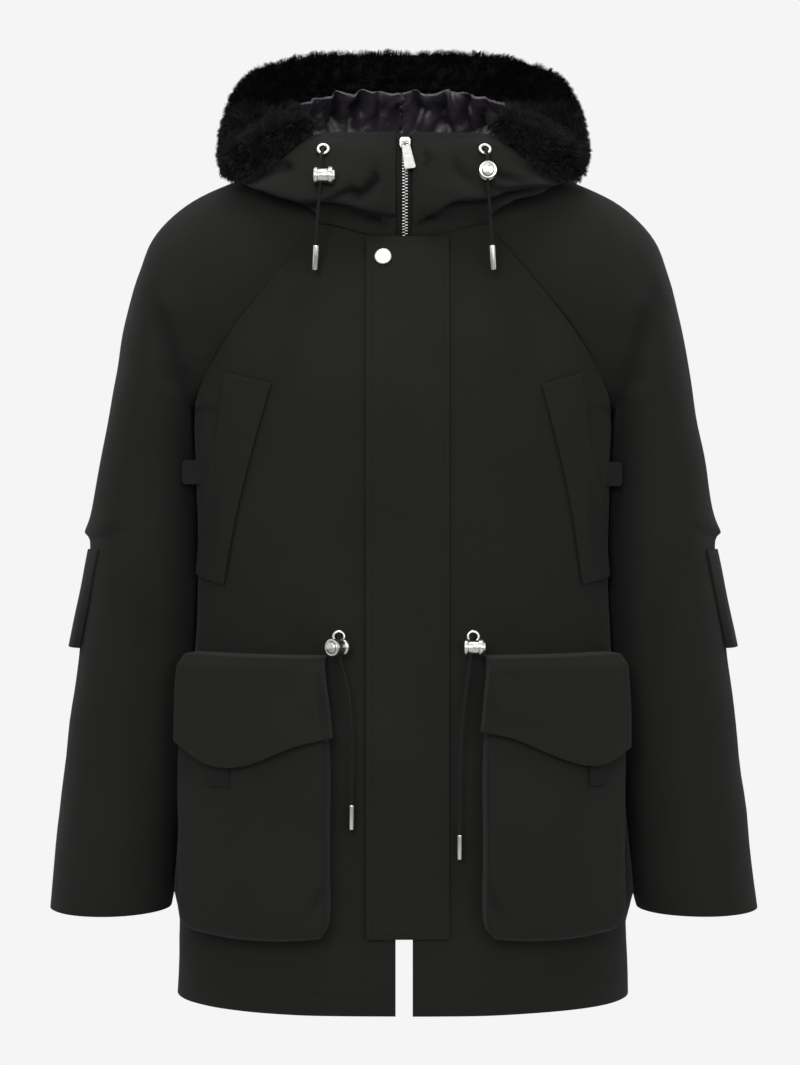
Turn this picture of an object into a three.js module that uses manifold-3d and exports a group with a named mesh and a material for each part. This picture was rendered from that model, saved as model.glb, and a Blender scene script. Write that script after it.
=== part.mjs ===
// Hooded parka, filled out with no wearer inside it.
// Millimetres, +Z up, the front faces -Y. The origin is the middle of the shoulders, at the neck.
// Left is -X and right is +X, as seen from the front.
import * as THREE from 'three';
import { mergeVertices } from 'three/addons/utils/BufferGeometryUtils.js';
import Module from 'manifold-3d';

const wasm = await Module();
wasm.setup();

// Cloth and seams
const CLOTH = 3;
const SEAM_GAP = 0.34;
const SEAT = 0.8;
const WEBBING = 2.4;
const LINING_THICK = 2.4;

// Front opening: the two front edges stand apart round the zip
const LEFT_EDGE = 8;
const RIGHT_EDGE = 10;
const ZIP_X = 2;
const ZIP_CLEAR = 27;
const HEM_Z = -889;
const VENT_HEIGHT = 130;

// Zip
const CHAIN_WIDTH = 6;
const TAPE_WIDTH = 22;
const ZIP_END_Z = -790;
const SLIDER_Z = 27;
const PULL_LENGTH = 35;
const PULL_TILT = THREE.MathUtils.degToRad(9);
const PLATE_OUT = 0.2;
const ARCH_OUT = 3.6;
const ARCH_OUTER = 3.3;
const ARCH_INNER = 1.9;
const ARCH_WIDTH = 2.6;

// Placket
const PLACKET_LEFT = -38.5;
const PLACKET_RIGHT = 48;
const PLACKET_TOP = -74;
const PLACKET_BOTTOM = -808;
const PLACKET_THICK = 4;
const SNAP_X = -21;
const SNAP_Z = -97;
const SNAP_DIAMETER = 18;

// The sleeve's elbow tuck ends at this height, and the elbow panel starts under it
const TUCK_Z = -400;

// Drawcords
const CORD_DIAMETER = 3;
const CORD_STEP = 8;
const CORD_END_DIAMETER = 6.5;
const CORD_END_LENGTH = 26;
const EYELET_OUTER = 14.5;
const EYELET_HOLE = 7.4;
const EYELET_THICK = 1.6;
const LOCK_DIAMETER = 15;
const LOCK_RIM_DIAMETER = 18.5;
const LOCK_RIM_LENGTH = 5;
const LOCK_LENGTH = 20;
const LOCK_REACH = 13;
const SOCKET_DEPTH = 8;
const BUTTON_DIAMETER = 12;
const BUTTON_LENGTH = 7;
const BUTTON_PROUD = 2.5;

// Grid sizes of the cloth
const FRONT_COLUMNS = 9;
const SLEEVE_COLUMNS = 16;
const BACK_SHARES = [0, 0.046, 0.16, 0.28, 0.4, 0.52, 0.64, 0.76, 0.88, 1];
const BACK_COLUMNS = 2 * (BACK_SHARES.length - 1);
const HOOD_ROWS = 8;

const table = (columns, rows) => rows.map((row) => Object.fromEntries(row.map((value, i) => [columns[i],
  value])));

// Body rings: half width, depth in front and behind, and how square the ring is
const BODY = table(['z', 'half', 'front', 'back', 'square'], [
  [30, 236, 90, 98, 2.2],
  [-30, 238, 106, 112, 2.3],
  [-74, 238, 118, 124, 2.3],
  [-130, 237, 135, 134, 2.4],
  [-200, 232, 148, 142, 2.5],
  [-262, 225, 151, 143, 2.5],
  [-330, 221, 151, 141, 2.5],
  [-400, 219, 149, 138, 2.5],
  [-480, 218, 146, 136, 2.5],
  [-600, 228, 150, 142, 2.5],
  [-700, 238, 151, 146, 2.5],
  [-800, 246, 152, 149, 2.5],
  [-889, 249, 152, 150, 2.5],
]);

// Raglan stations from the neck to the underarm. Front and back are the seams on the body, ridge is the outer
// line of the sleeve, deep is its half depth, fold is the crease at the armpit and foldAt its angle.
const RAGLAN = table(
  ['centreZ', 'centreBackZ', 'frontX', 'frontZ', 'backX', 'backZ', 'ridgeX', 'ridgeZ', 'deep', 'fold',
    'foldAt'],
  [
    [-74, 12, 90, -58, 72, 8, 97, 32, 109, 0, 20],
    [-96, -24, 112, -84, 92, -22, 145, 17, 113, 0, 20],
    [-119, -58, 134, -110, 114, -54, 193, 0, 116, 0, 20],
    [-143, -94, 156, -136, 136, -90, 233, -18, 116, 1, 25],
    [-167, -130, 176, -160, 158, -126, 262, -41, 113, 4, 35],
    [-191, -166, 195, -186, 178, -162, 283, -70, 107, 8, 62],
    [-214, -200, 209, -210, 198, -198, 299, -115, 100, 11, 88],
    [-238, -232, 219, -236, 214, -230, 310, -165, 93, 10, 112],
    [-251, -248, 223.2, -252, 222, -250, 315, -195, 89, 4, 145],
    [-262, -262, 225, -262, 225, -262, 320, -226, 86, 3, 150],
  ],
);
const UNDERARM = RAGLAN.length - 1;

// Sleeve rings below the underarm: the inner and outer lines, half depth, and the elbow tuck standing out
const SLEEVE = table(['innerX', 'innerZ', 'ridgeX', 'ridgeZ', 'deep', 'fold', 'foldAt', 'tuck'], [
  [226.5, -292, 327, -268, 84, 3, 150, 0],
  [227.5, -330, 335, -312, 83, 2, 130, 0],
  [228, -368, 342, -352, 82, 1, 130, 0],
  [229, -392, 346, -376, 82, 0, 160, 4],
  [229, -400, 346, -387, 82, 0, 160, 8],
  [229.5, -408, 345, -400, 82, 0, 160, 0],
  [231, -455, 351, -455, 81, 0, 160, 0],
  [233, -510, 358, -512, 80, 0, 160, 0],
  [234, -527, 360, -529, 80, 0, 160, 0],
  [238, -575, 366.5, -577, 79, 0, 160, 0],
  [245, -650, 376, -652, 77, 0, 160, 0],
  [252, -730, 385, -731, 76, 0, 160, 0],
  [258, -799, 392, -799, 75, 0, 160, 0],
]);

// Body rows below the underarm, shared by the front and the back
const BODY_ROWS = [-300, -345, -400, -460, -520, -590, -660, -740, -810, HEM_Z];

// Hood sections round the neck, from the zip (0) to the middle of the back (1). The shell leaves the neck
// seam by
// away (down the coat) and off (out from it), then passes the lip, the bulge and the upper point.
const HOOD = table(['around', 'away', 'off', 'lip', 'bulge', 'upper'], [
  [0, -11, 9, [8, -128, -46], [8, -131, -26], [8, -123, 10]],
  [0.08, -10, 9, [30, -135, -45], [31, -138, -25], [30, -129, 10]],
  [0.16, -9, 9.5, [63, -140, -42], [64, -142, -24], [60, -131, 10]],
  [0.25, -2, 9, [106, -135, -39], [108, -138, -22], [98, -127, 14]],
  [0.31, 6, 9, [130, -131, -35], [134, -133, -24], [120, -122, 4]],
  [0.375, 12, 9, [144, -118, -28], [156, -116, -20], [150, -108, -2]],
  [0.44, 14, 9, [150, -78, -4], [172, -80, -8], [179, -77, -4]],
  [0.5, 14, 9, [156, -2, 27], [184, 0, 32], [190, 4, 42]],
  [0.625, 14, 9, [150, 84, 6], [188, 86, 28], [192, 78, 62]],
  [0.75, 14, 10, [120, 158, -40], [162, 170, 6], [170, 148, 76]],
  [0.875, 14, 10, [66, 184, -66], [96, 222, -8], [106, 204, 80]],
  [1, 14, 10, [0, 184, -74], [0, 230, -14], [0, 222, 80]],
]);

// Lining of the hood: seat and low are away and off from the neck seam, pouch, upper and top are points
const LINING = table(['around', 'seatAway', 'seatOff', 'lowAway', 'lowOff', 'pouch', 'upper', 'top'], [
  [0, -10, -3, -27, 12, [27, -125, -20], [26, -115, 14], [26, -101, 39]],
  [0.16, -10, -3, -25, 11, [60, -129, -16], [56, -118, 16], [54, -101, 40]],
  [0.25, -11, -2, -18, 12, [100, -116, -10], [92, -108, 18], [86, -95, 42]],
  [0.375, -8, 4, 4, 16, [128, -84, 14], [120, -70, 42], [112, -52, 76]],
  [0.5, -8, 4, 8, 17, [156, 10, 48], [144, 18, 66], [122, 28, 98]],
  [0.625, -8, 4, 8, 17, [160, 84, 50], [150, 86, 84], [122, 76, 108]],
  [0.75, -8, 4, 8, 18, [136, 146, 20], [132, 146, 80], [94, 121, 122]],
  [0.875, -8, 4, 8, 19, [78, 194, -6], [82, 184, 80], [48, 140, 128]],
  [1, -8, 4, 8, 20, [0, 200, -8], [0, 188, 80], [0, 146, 130]],
]);

// Fur band: its inner edge, the crown of the pile and its outer edge
const FUR = table(['around', 'inner', 'crown', 'outer'], [
  [0.25, [87, -103, 47], [92, -112, 46], [93, -107, 39]],
  [0.28, [93, -101, 54], [110, -124, 48], [112, -118, 24]],
  [0.31, [99, -97, 61], [136, -130, 36], [134, -126, 2]],
  [0.375, [109, -72, 75], [176, -112, 24], [162, -118, -14]],
  [0.44, [114, -24, 88], [201, -58, 30], [192, -80, -8]],
  [0.5, [119, 26, 98], [200, -2, 76], [202, 0, 36]],
  [0.625, [118, 74, 108], [187, 62, 128], [200, 70, 84]],
  [0.75, [91, 120, 124], [166, 114, 158], [178, 140, 104]],
  [0.875, [47, 138, 132], [106, 150, 181], [118, 186, 120]],
  [1, [0, 144, 133], [0, 164, 187], [0, 206, 126]],
]);

// Hand-warmer welts: the corners of the left one and of the right one
const WELTS = {
  left: { topOut: [187, -216], topIn: [138, -229], bottomIn: [190, -441], bottomOut: [210, -430] },
  right: { topOut: [188, -216], topIn: [145, -230], bottomIn: [190, -441], bottomOut: [209, -432] },
};

// Cargo pockets: where each stands on the front, inner and outer edge, and how far it stands off
const POCKETS = {
  left: { inner: 76, outer: 222, slant: 8 },
  right: { inner: 83, outer: 219, slant: 6 },
};
const POCKET_TOP = -556;
const POCKET_BOTTOM = -806;
const POCKET_DEPTH = 33;
const POCKET_ROUND = 9;
const POCKET_SEAT = 2;
const FLAP_SEAM = -513;
const FLAP_FRONT = -528;
const FLAP_OVER = 8;
const FLAP_WIDER = 5;
const FLAP_TABS = {
  left: { from: 170, to: 188.5 },
  right: { from: 181, to: 196 },
};
const TAB_TOP = -618;
const TAB_BOTTOM = -651;
const FLAP_EDGE = table(['across', 'left', 'right'], [
  [0, -597, -591],
  [0.17, -603, -596],
  [0.34, -614, -607],
  [0.5, -626, -619],
  [0.62, -631, -627],
  [0.75, -628, -629],
  [0.86, -620, -626],
  [0.95, -607, -614],
  [1, -594, -600],
]);

// Hardware placed on the cloth, and the drawcords' routes from the eyelet to the metal end
const CORDS = {
  hood_left: {
    eyelet: [-84, 18],
    lock: [-86.5, -150, -13],
    turn: 0,
    route: [
      [-84.24, -126.3, 18.05], [-84.25, -127.9, 18.95], [-84.3, -130, 19.2], [-84.5, -133, 17.9],
      [-84.9, -137.5, 14.9], [-85.5, -142.5, 11], [-86.1, -147, 6.2], [-86.45, -149.4, 1], [-86.5, -150, -5],
      [-86.5, -150, -13], [-86.6, -150, -24], [-88, -148.4, -40],
      [-89.6, -145, -58], [-91, -141, -84],
    ],
  },
  hood_right: {
    eyelet: [86, 18],
    lock: [88, -150, -9],
    turn: -90,
    route: [
      [86.26, -126.15, 18], [86.42, -127.75, 18.9], [86.6, -129.85, 19.2], [86.8, -133, 18.1],
      [87.1, -137.5, 15.6], [87.5, -142.5, 12.6], [87.85, -147, 8.6], [88, -149.5, 4.3], [88, -150, 0],
      [88, -150, -9], [88.1, -150, -20], [89.6, -148.6, -38],
      [91.4, -145, -58], [93, -142, -84],
    ],
  },
  waist_left: {
    eyelet: [-67, -494],
    lock: [-66, -160, -504],
    turn: -130,
    route: [
      [-67.04, -143.45, -494], [-67.35, -146.5, -493.9], [-67.3, -151, -492.2], [-66.9, -156, -489.9],
      [-66.2, -159.3, -490.9], [-66, -160, -494.6], [-66, -160, -504], [-65.9, -160, -514], [-62, -161, -529],
      [-56.6, -161.6, -552], [-53.8, -162, -580], [-53, -161.6, -612], [-53.2, -161, -640],
      [-53.6, -160, -667],
    ],
  },
  waist_right: {
    eyelet: [73, -494],
    lock: [70, -160, -504],
    turn: 0,
    route: [
      [73.04, -142.7, -494], [73.4, -146, -493.9], [73.2, -151, -492.2], [72, -156, -489.9],
      [70.5, -159.3, -490.9],
      [70, -160, -494.6], [70, -160, -504], [69.9, -160, -514], [67.4, -161, -534], [64, -161.6, -562],
      [61, -162, -596], [59.6, -161.8, -632], [59, -161, -668], [58.8, -160, -698],
    ],
  },
};

const material = (color, roughness, metalness = 0) => new THREE.MeshStandardMaterial({ color, roughness,
  metalness });
const SHELL = () => material(0x22221f, 0.85);
const NYLON = () => material(0x1c181e, 0.4);
const PILE = () => material(0x0d0c0c, 1);
const METAL = () => material(0xc9c7c3, 0.25, 1);
const BRAID = () => material(0x1b1b1a, 0.9);

const lerp = THREE.MathUtils.lerp;
const vector = (p) => new THREE.Vector3(p[0], p[1], p[2]);
const smooth = (t) => t * t * (3 - 2 * t);
const parka = new THREE.Group();

function add(name, geometry, surface) {
  const mesh = new THREE.Mesh(geometry, surface);
  mesh.name = name;
  parka.add(mesh);
  return mesh;
}

// Smooth value of one column of a table at a key
function read(rows, key, column, value) {
  const rising = rows[rows.length - 1][key] > rows[0][key];
  const at = (i) => rows[Math.min(Math.max(i, 0), rows.length - 1)];
  let i = 0;
  while (i < rows.length - 2 && (rising ? value > rows[i + 1][key] : value < rows[i + 1][key])) i += 1;
  const span = at(i + 1)[key] - at(i)[key];
  const t = THREE.MathUtils.clamp((value - at(i)[key]) / span, 0, 1);
  const mix = (pick) => {
    const slope = (a, b) => (b === a ? 0 : (pick(at(b)) - pick(at(a))) / (at(b)[key] - at(a)[key]));
    const start = slope(Math.max(i - 1, 0), i + 1) * span;
    const end = slope(i, Math.min(i + 2, rows.length - 1)) * span;
    const t2 = t * t;
    const t3 = t2 * t;
    return (2 * t3 - 3 * t2 + 1) * pick(at(i)) + (t3 - 2 * t2 + t) * start
      + (-2 * t3 + 3 * t2) * pick(at(i + 1)) + (t3 - t2) * end;
  };
  if (Array.isArray(rows[0][column])) {
    return new THREE.Vector3(mix((r) => r[column][0]), mix((r) => r[column][1]), mix((r) => r[column][2]));
  }
  return mix((r) => r[column]);
}

function meshFrom(points, faces) {
  const geometry = new THREE.BufferGeometry();
  geometry.setAttribute('position', new THREE.Float32BufferAttribute(points.flatMap((p) => [p.x, p.y, p.z]),
    3));
  let volume = 0;
  for (const [a, b, c] of faces) volume += points[a].dot(new THREE.Vector3().crossVectors(points[b],
    points[c]));
  geometry.setIndex((volume < 0 ? faces.map(([a, b, c]) => [a, c, b]) : faces).flat());
  geometry.computeVertexNormals();
  return geometry;
}

// Outward direction at each point of a grid of outer points. closedFrom is the first row that is a full ring.
function gridNormals(grid, closedFrom, outward) {
  const last = grid[0].length - 1;
  return grid.map((row, r) => row.map((point, c) => {
    const ring = r >= closedFrom;
    const before = row[c > 0 ? c - 1 : (ring ? last - 1 : 0)];
    const after = row[c < last ? c + 1 : (ring ? 1 : last)];
    const above = grid[Math.max(r - 1, 0)][c];
    const below = grid[Math.min(r + 1, grid.length - 1)][c];
    const normal = new THREE.Vector3().crossVectors(after.clone().sub(before), below.clone().sub(above));
    return normal.normalize().multiplyScalar(outward);
  }));
}

// A cloth wall between a grid of outer points and the same points moved in by the wall's thickness.
// trim draws the named edges back by half a seam gap, edgeNormal gives the shared direction at a seam.
function clothWall(grid, thickness, options = {}) {
  const { closedFrom = Infinity, outward = 1, trim = '', edgeNormal = () => null,
    edgeShift = () => null } = options;
  const rows = grid.length;
  const last = grid[0].length - 1;
  const normals = gridNormals(grid, closedFrom, outward);
  const trimmed = (r, c) => {
    const point = grid[r][c].clone();
    const draw = (toward) => point.add(toward.clone().sub(grid[r][c]).setLength(SEAM_GAP / 2));
    const shift = edgeShift(r, c);
    if (shift) {
      point.add(shift);
    } else if (r >= closedFrom) {
      if (r === closedFrom && (c === 0 || c === last)) draw(grid[r + 1][c]);
    } else {
      if (trim.includes('l') && c === 0) draw(grid[r][1]);
      if (trim.includes('r') && c === last) draw(grid[r][last - 1]);
    }
    if (trim.includes('t') && r === 0) draw(grid[1][c]);
    if (trim.includes('b') && r === rows - 1) draw(grid[rows - 2][c]);
    return point;
  };
  const outer = [];
  const inner = [];
  for (let r = 0; r < rows; r += 1) {
    for (let c = 0; c <= last; c += 1) {
      const point = trimmed(r, c);
      const normal = edgeNormal(r, c) ?? normals[r][c];
      const wall = typeof thickness === 'function' ? thickness(r, c) : thickness;
      outer.push(point);
      inner.push(point.clone().addScaledVector(normal, -wall));
    }
  }
  const id = (r, c, layer) => layer * outer.length + r * (last + 1) + (r >= closedFrom && c === last ? 0 : c);
  const faces = [];
  const quad = (a, b, c, d) => {
    if (a !== b && b !== c && a !== c) faces.push([a, b, c]);
    if (a !== c && c !== d && a !== d) faces.push([a, c, d]);
  };
  for (let r = 0; r < rows - 1; r += 1) {
    for (let c = 0; c < last; c += 1) {
      quad(id(r, c, 0), id(r, c + 1, 0), id(r + 1, c + 1, 0), id(r + 1, c, 0));
      quad(id(r, c, 1), id(r + 1, c, 1), id(r + 1, c + 1, 1), id(r, c + 1, 1));
    }
    if (r < closedFrom) {
      quad(id(r, 0, 0), id(r + 1, 0, 0), id(r + 1, 0, 1), id(r, 0, 1));
      quad(id(r, last, 0), id(r, last, 1), id(r + 1, last, 1), id(r + 1, last, 0));
    }
  }
  for (let c = 0; c < last; c += 1) {
    quad(id(0, c, 1), id(0, c + 1, 1), id(0, c + 1, 0), id(0, c, 0));
    quad(id(rows - 1, c, 0), id(rows - 1, c + 1, 0), id(rows - 1, c + 1, 1), id(rows - 1, c, 1));
  }
  return meshFrom([...outer, ...inner], faces);
}

// The body's outer surface: around is 0 at the middle of the front, 90 at the side, 180 at the back
function bodyPoint(side, around, z) {
  const half = read(BODY, 'z', 'half', z);
  const power = 2 / read(BODY, 'z', 'square', z);
  const angle = THREE.MathUtils.degToRad(around);
  const depth = Math.cos(angle) > 0 ? -read(BODY, 'z', 'front', z) : read(BODY, 'z', 'back', z);
  return new THREE.Vector3(
    side * half * Math.abs(Math.sin(angle)) ** power,
    depth * Math.abs(Math.cos(angle)) ** power,
    z,
  );
}

function aroundAt(x, z) {
  const half = read(BODY, 'z', 'half', z);
  const square = read(BODY, 'z', 'square', z);
  return THREE.MathUtils.radToDeg(Math.asin(Math.min(Math.abs(x) / half, 1) ** (square / 2)));
}

// A point on the front at a width and a height, moved out from the cloth
function onFront(x, z, out) {
  const side = x < 0 ? -1 : 1;
  const at = (px, pz) => bodyPoint(Math.sign(px) || side, aroundAt(px, pz), pz);
  const point = at(x, z);
  const step = 2;
  const limit = read(BODY, 'z', 'half', z) - step;
  const inX = THREE.MathUtils.clamp(x, -limit, limit);
  const across = at(inX + 1, z).sub(at(inX - 1, z));
  const down = at(inX, z - step).sub(at(inX, z + step));
  return point.addScaledVector(new THREE.Vector3().crossVectors(down, across).normalize(), out);
}

const raglanFront = (side, k) => bodyPoint(side, aroundAt(RAGLAN[k].frontX, RAGLAN[k].frontZ),
  RAGLAN[k].frontZ);
const raglanBack = (side, k) => bodyPoint(side, 180 - aroundAt(RAGLAN[k].backX, RAGLAN[k].backZ),
  RAGLAN[k].backZ);

// Sleeve: above the underarm each section runs from the front seam over the ridge to the back seam
function sleeveSection(side, station) {
  const ridge = new THREE.Vector3(side * station.ridgeX, 0, station.ridgeZ);
  const half = (seam, facing) => {
    const turnEnd = Math.PI - Math.asin(Math.min(Math.abs(seam.y) / station.deep, 1));
    const across = ridge.clone().sub(seam).setY(0);
    const reach = Math.abs(Math.cos(turnEnd));
    const radius = across.length() / (1 + reach);
    across.normalize();
    const centre = seam.clone().setY(0).addScaledVector(across, radius * reach);
    return (t) => {
      const angle = turnEnd * t;
      const point = centre.clone().addScaledVector(across, radius * Math.cos(angle));
      point.y = facing * station.deep * Math.sin(angle);
      const degrees = THREE.MathUtils.radToDeg(angle);
      if (facing < 0) {
        const crease = station.fold * Math.exp(-(((degrees - station.foldAt) / 20) ** 2)) * (1 - t ** 6);
        point.y += crease * Math.sin(angle);
        point.addScaledVector(across, -crease * Math.cos(angle) * 0.7);
      }
      const tuck = station.tuck ?? 0;
      const shown = facing < 0 ? 1 - smooth(Math.min(degrees / 30, 1)) : 1 - smooth(Math.min(degrees / 120,
        1));
      return point.addScaledVector(across, tuck * shown);
    };
  };
  return { front: half(station.frontSeam, -1), back: half(station.backSeam, 1) };
}

function sleeveGrid(side) {
  const stations = RAGLAN.map((row, k) => ({ ...row, frontSeam: raglanFront(side, k),
    backSeam: raglanBack(side, k) }));
  for (const row of SLEEVE) {
    const seam = new THREE.Vector3(side * row.innerX, 0, row.innerZ);
    stations.push({ ...row, frontSeam: seam, backSeam: seam });
  }
  const steps = SLEEVE_COLUMNS / 2;
  return stations.map((station) => {
    const section = sleeveSection(side, station);
    const row = [];
    for (let i = 0; i <= steps; i += 1) row.push(section.front(1 - i / steps));
    for (let i = 1; i <= steps; i += 1) row.push(section.back(i / steps));
    return row;
  });
}

// Directions shared by the body and the sleeve along the raglan seams: halfway between the two surfaces
function seamDirections(side) {
  const sleeve = gridNormals(sleeves[side], UNDERARM, -side);
  const last = SLEEVE_COLUMNS;
  const front = gridNormals(fronts[side], Infinity, -side);
  const back = gridNormals(backPoints, Infinity, 1);
  const shared = (k, body, column) => {
    const sum = body.clone().add(sleeve[k][column]);
    sum.z -= 0.5 * (k / UNDERARM) ** 4;
    return sum.normalize();
  };
  const backEdge = side < 0 ? 0 : BACK_COLUMNS;
  const backNext = side < 0 ? 1 : BACK_COLUMNS - 1;
  const frontSeamWay = RAGLAN.map((row, k) => shared(k, front[k][FRONT_COLUMNS], 0));
  const backSeamWay = RAGLAN.map((row, k) => shared(k, back[k][backEdge], last));
  const meeting = frontSeamWay[UNDERARM].clone().add(backSeamWay[UNDERARM]).setY(0).normalize();
  frontSeamWay[UNDERARM] = meeting;
  backSeamWay[UNDERARM] = meeting;
  const apart = (k, body, next, sleeveNext, endY) => {
    const way = next.clone().sub(body).normalize().sub(sleeveNext.clone().sub(body).normalize());
    way.setLength(SEAM_GAP / 2);
    if (k === UNDERARM) way.y += endY;
    return way;
  };
  const gap = SEAM_GAP / 2;
  return {
    front: frontSeamWay,
    back: backSeamWay,
    frontApart: RAGLAN.map((row, k) => apart(k, fronts[side][k][FRONT_COLUMNS],
      fronts[side][k][FRONT_COLUMNS - 1],
      sleeves[side][k][1], -gap)),
    backApart: RAGLAN.map((row, k) => apart(k, backPoints[k][backEdge], backPoints[k][backNext],
      sleeves[side][k][last - 1], gap)),
  };
}

// Fronts: from the front edge to the raglan seam, and below the underarm to the side seam
function frontGrid(side, edge) {
  const row = (centreZ, seamZ, seamAround) => {
    const start = aroundAt(edge, centreZ);
    return Array.from({ length: FRONT_COLUMNS + 1 }, (_, c) => {
      const t = c / FRONT_COLUMNS;
      return bodyPoint(side, lerp(start, seamAround, t), lerp(centreZ, seamZ, smooth(t)));
    });
  };
  const upper = RAGLAN.map((r) => row(r.centreZ, r.frontZ, aroundAt(r.frontX, r.frontZ)));
  return [...upper, ...BODY_ROWS.map((z) => row(z, z, 90))];
}

function backGrid() {
  const middle = BACK_COLUMNS / 2;
  const row = (centreZ, seamZ, seamAround) => Array.from({ length: BACK_COLUMNS + 1 }, (_, c) => {
    const side = c < middle ? -1 : 1;
    const share = BACK_SHARES[Math.abs(c - middle)];
    const around = lerp(180, seamAround, share);
    const z = lerp(centreZ, seamZ, smooth(share));
    const vent = Math.max(0, 1 - share / BACK_SHARES[1]) * VENT_HEIGHT;
    const depth = Math.max(0, (HEM_Z + 2 * VENT_HEIGHT - z) / (2 * VENT_HEIGHT));
    return bodyPoint(side, around, z + vent * depth);
  });
  const upper = RAGLAN.map((r) => row(r.centreBackZ, r.backZ, 180 - aroundAt(r.backX, r.backZ)));
  return [...upper, ...BODY_ROWS.map((z) => row(z, z, 90))];
}

const sleeves = { '-1': sleeveGrid(-1), 1: sleeveGrid(1) };
const fronts = { '-1': frontGrid(-1, LEFT_EDGE), 1: frontGrid(1, RIGHT_EDGE) };
const backPoints = backGrid();
const directions = { '-1': seamDirections(-1), 1: seamDirections(1) };
const sideName = (side) => (side < 0 ? 'left' : 'right');

function addBody() {
  for (const side of [-1, 1]) {
    const name = sideName(side);
    const { front, frontApart, back, backApart } = directions[side];
    add(`front_${name}`, clothWall(fronts[side], CLOTH, {
      outward: -side,
      trim: 'tr',
      edgeNormal: (r, c) => {
        if (c < FRONT_COLUMNS) return null;
        return r <= UNDERARM ? front[r] : new THREE.Vector3(side, 0, 0);
      },
      edgeShift: (r, c) => (c === FRONT_COLUMNS && r > 0 && r <= UNDERARM ? frontApart[r] : null),
    }), SHELL());
    add(`sleeve_${name}`, clothWall(sleeves[side], CLOTH, {
      closedFrom: UNDERARM,
      outward: -side,
      trim: 'tlr',
      edgeNormal: (r, c) => {
        if (r > UNDERARM) return null;
        if (c === 0) return front[r];
        return c === SLEEVE_COLUMNS ? back[r] : null;
      },
      edgeShift: (r, c) => {
        if (r === 0 || r > UNDERARM || (c > 0 && c < SLEEVE_COLUMNS)) return null;
        const way = (c === 0 ? frontApart : backApart)[r].clone().multiplyScalar(-1);
        return r === UNDERARM ? way.setY(0) : way;
      },
    }), SHELL());
  }
  add('back', clothWall(backPoints, CLOTH, {
    outward: 1,
    trim: 'tlr',
    edgeNormal: (r, c) => {
      if (c > 0 && c < BACK_COLUMNS) return null;
      const side = c === 0 ? -1 : 1;
      return r <= UNDERARM ? directions[side].back[r] : new THREE.Vector3(side, 0, 0);
    },
    edgeShift: (r, c) => {
      if (r === 0 || r > UNDERARM || (c > 0 && c < BACK_COLUMNS)) return null;
      return directions[c === 0 ? -1 : 1].backApart[r];
    },
  }), SHELL());
}

// Elbow panels: under the tuck, lying on the sleeve at the top and standing off it at the hem
function addElbowPanels() {
  const first = RAGLAN.length + SLEEVE.findIndex((row) => row.ridgeZ === TUCK_Z);
  const columns = [6, 7, 8, 9, 10, 11, 12, 13];
  const lift = [1, 6, 11.5];
  const edgeSlant = 0.35;
  for (const side of [-1, 1]) {
    const normals = gridNormals(sleeves[side], UNDERARM, -side);
    const grid = lift.map((out, i) => columns.map((c, j) => {
      const slant = j === 0 ? edgeSlant * i : 0;
      const row = first + i;
      const base = sleeves[side][row][c].clone().lerp(sleeves[side][row][c + 1], slant);
      const edge = Math.sin((Math.PI * (j + 0.35)) / (columns.length - 0.3));
      if (i === 0) base.z -= 3;
      const normal = normals[row][c].clone().lerp(normals[row][c + 1], slant).normalize();
      return base.addScaledVector(normal, WEBBING + SEAT + (out - 1) * Math.min(1, edge * 1.4));
    }));
    add(`elbow_panel_${sideName(side)}`, clothWall(grid, WEBBING, { outward: -side }), SHELL());
  }
}

// Hood shell in two halves, from the neck seam over the bulge and up under the fur
const acrossFur = (row, t, drop) => {
  const inner = vector(row.inner);
  const outer = vector(row.outer);
  const crown = vector(row.crown);
  const along = outer.clone().sub(inner).normalize();
  const up = crown.clone().sub(inner);
  up.addScaledVector(along, -up.dot(along)).normalize();
  return inner.lerp(outer, t).addScaledVector(up, -drop);
};

const furAt = (around) => ({
  inner: read(FUR, 'around', 'inner', around).toArray(),
  crown: read(FUR, 'around', 'crown', around).toArray(),
  outer: read(FUR, 'around', 'outer', around).toArray(),
});

// The neck edge of the coat: its points, and there the way down the coat and the way out from it
function neckLine(side) {
  const half = BACK_COLUMNS / 2;
  const backNormals = gridNormals(backPoints, Infinity, 1);
  const backHalf = (rows) => (side < 0 ? rows.slice(0, half + 1) : rows.slice(half).reverse());
  const parts = [
    [fronts[side][0], fronts[side][1], gridNormals(fronts[side], Infinity, -side)[0]],
    [sleeves[side][0], sleeves[side][1], gridNormals(sleeves[side], UNDERARM, -side)[0]],
    [backHalf(backPoints[0]), backHalf(backPoints[1]), backHalf(backNormals[0])],
  ];
  const starts = [0, 0.25, 0.75];
  const spans = [0.25, 0.5, 0.25];
  const line = [];
  parts.forEach(([points, next, normals], p) => points.forEach((point, i) => {
    if (p > 0 && i === 0) return;
    line.push({
      point,
      around: starts[p] + (spans[p] * i) / (points.length - 1),
      down: next[i].clone().sub(point).normalize(),
      out: normals[i],
    });
  }));
  return line;
}

const fromNeck = (neck, away, off) => neck.point.clone().addScaledVector(neck.down,
  away).addScaledVector(neck.out, off);

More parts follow.
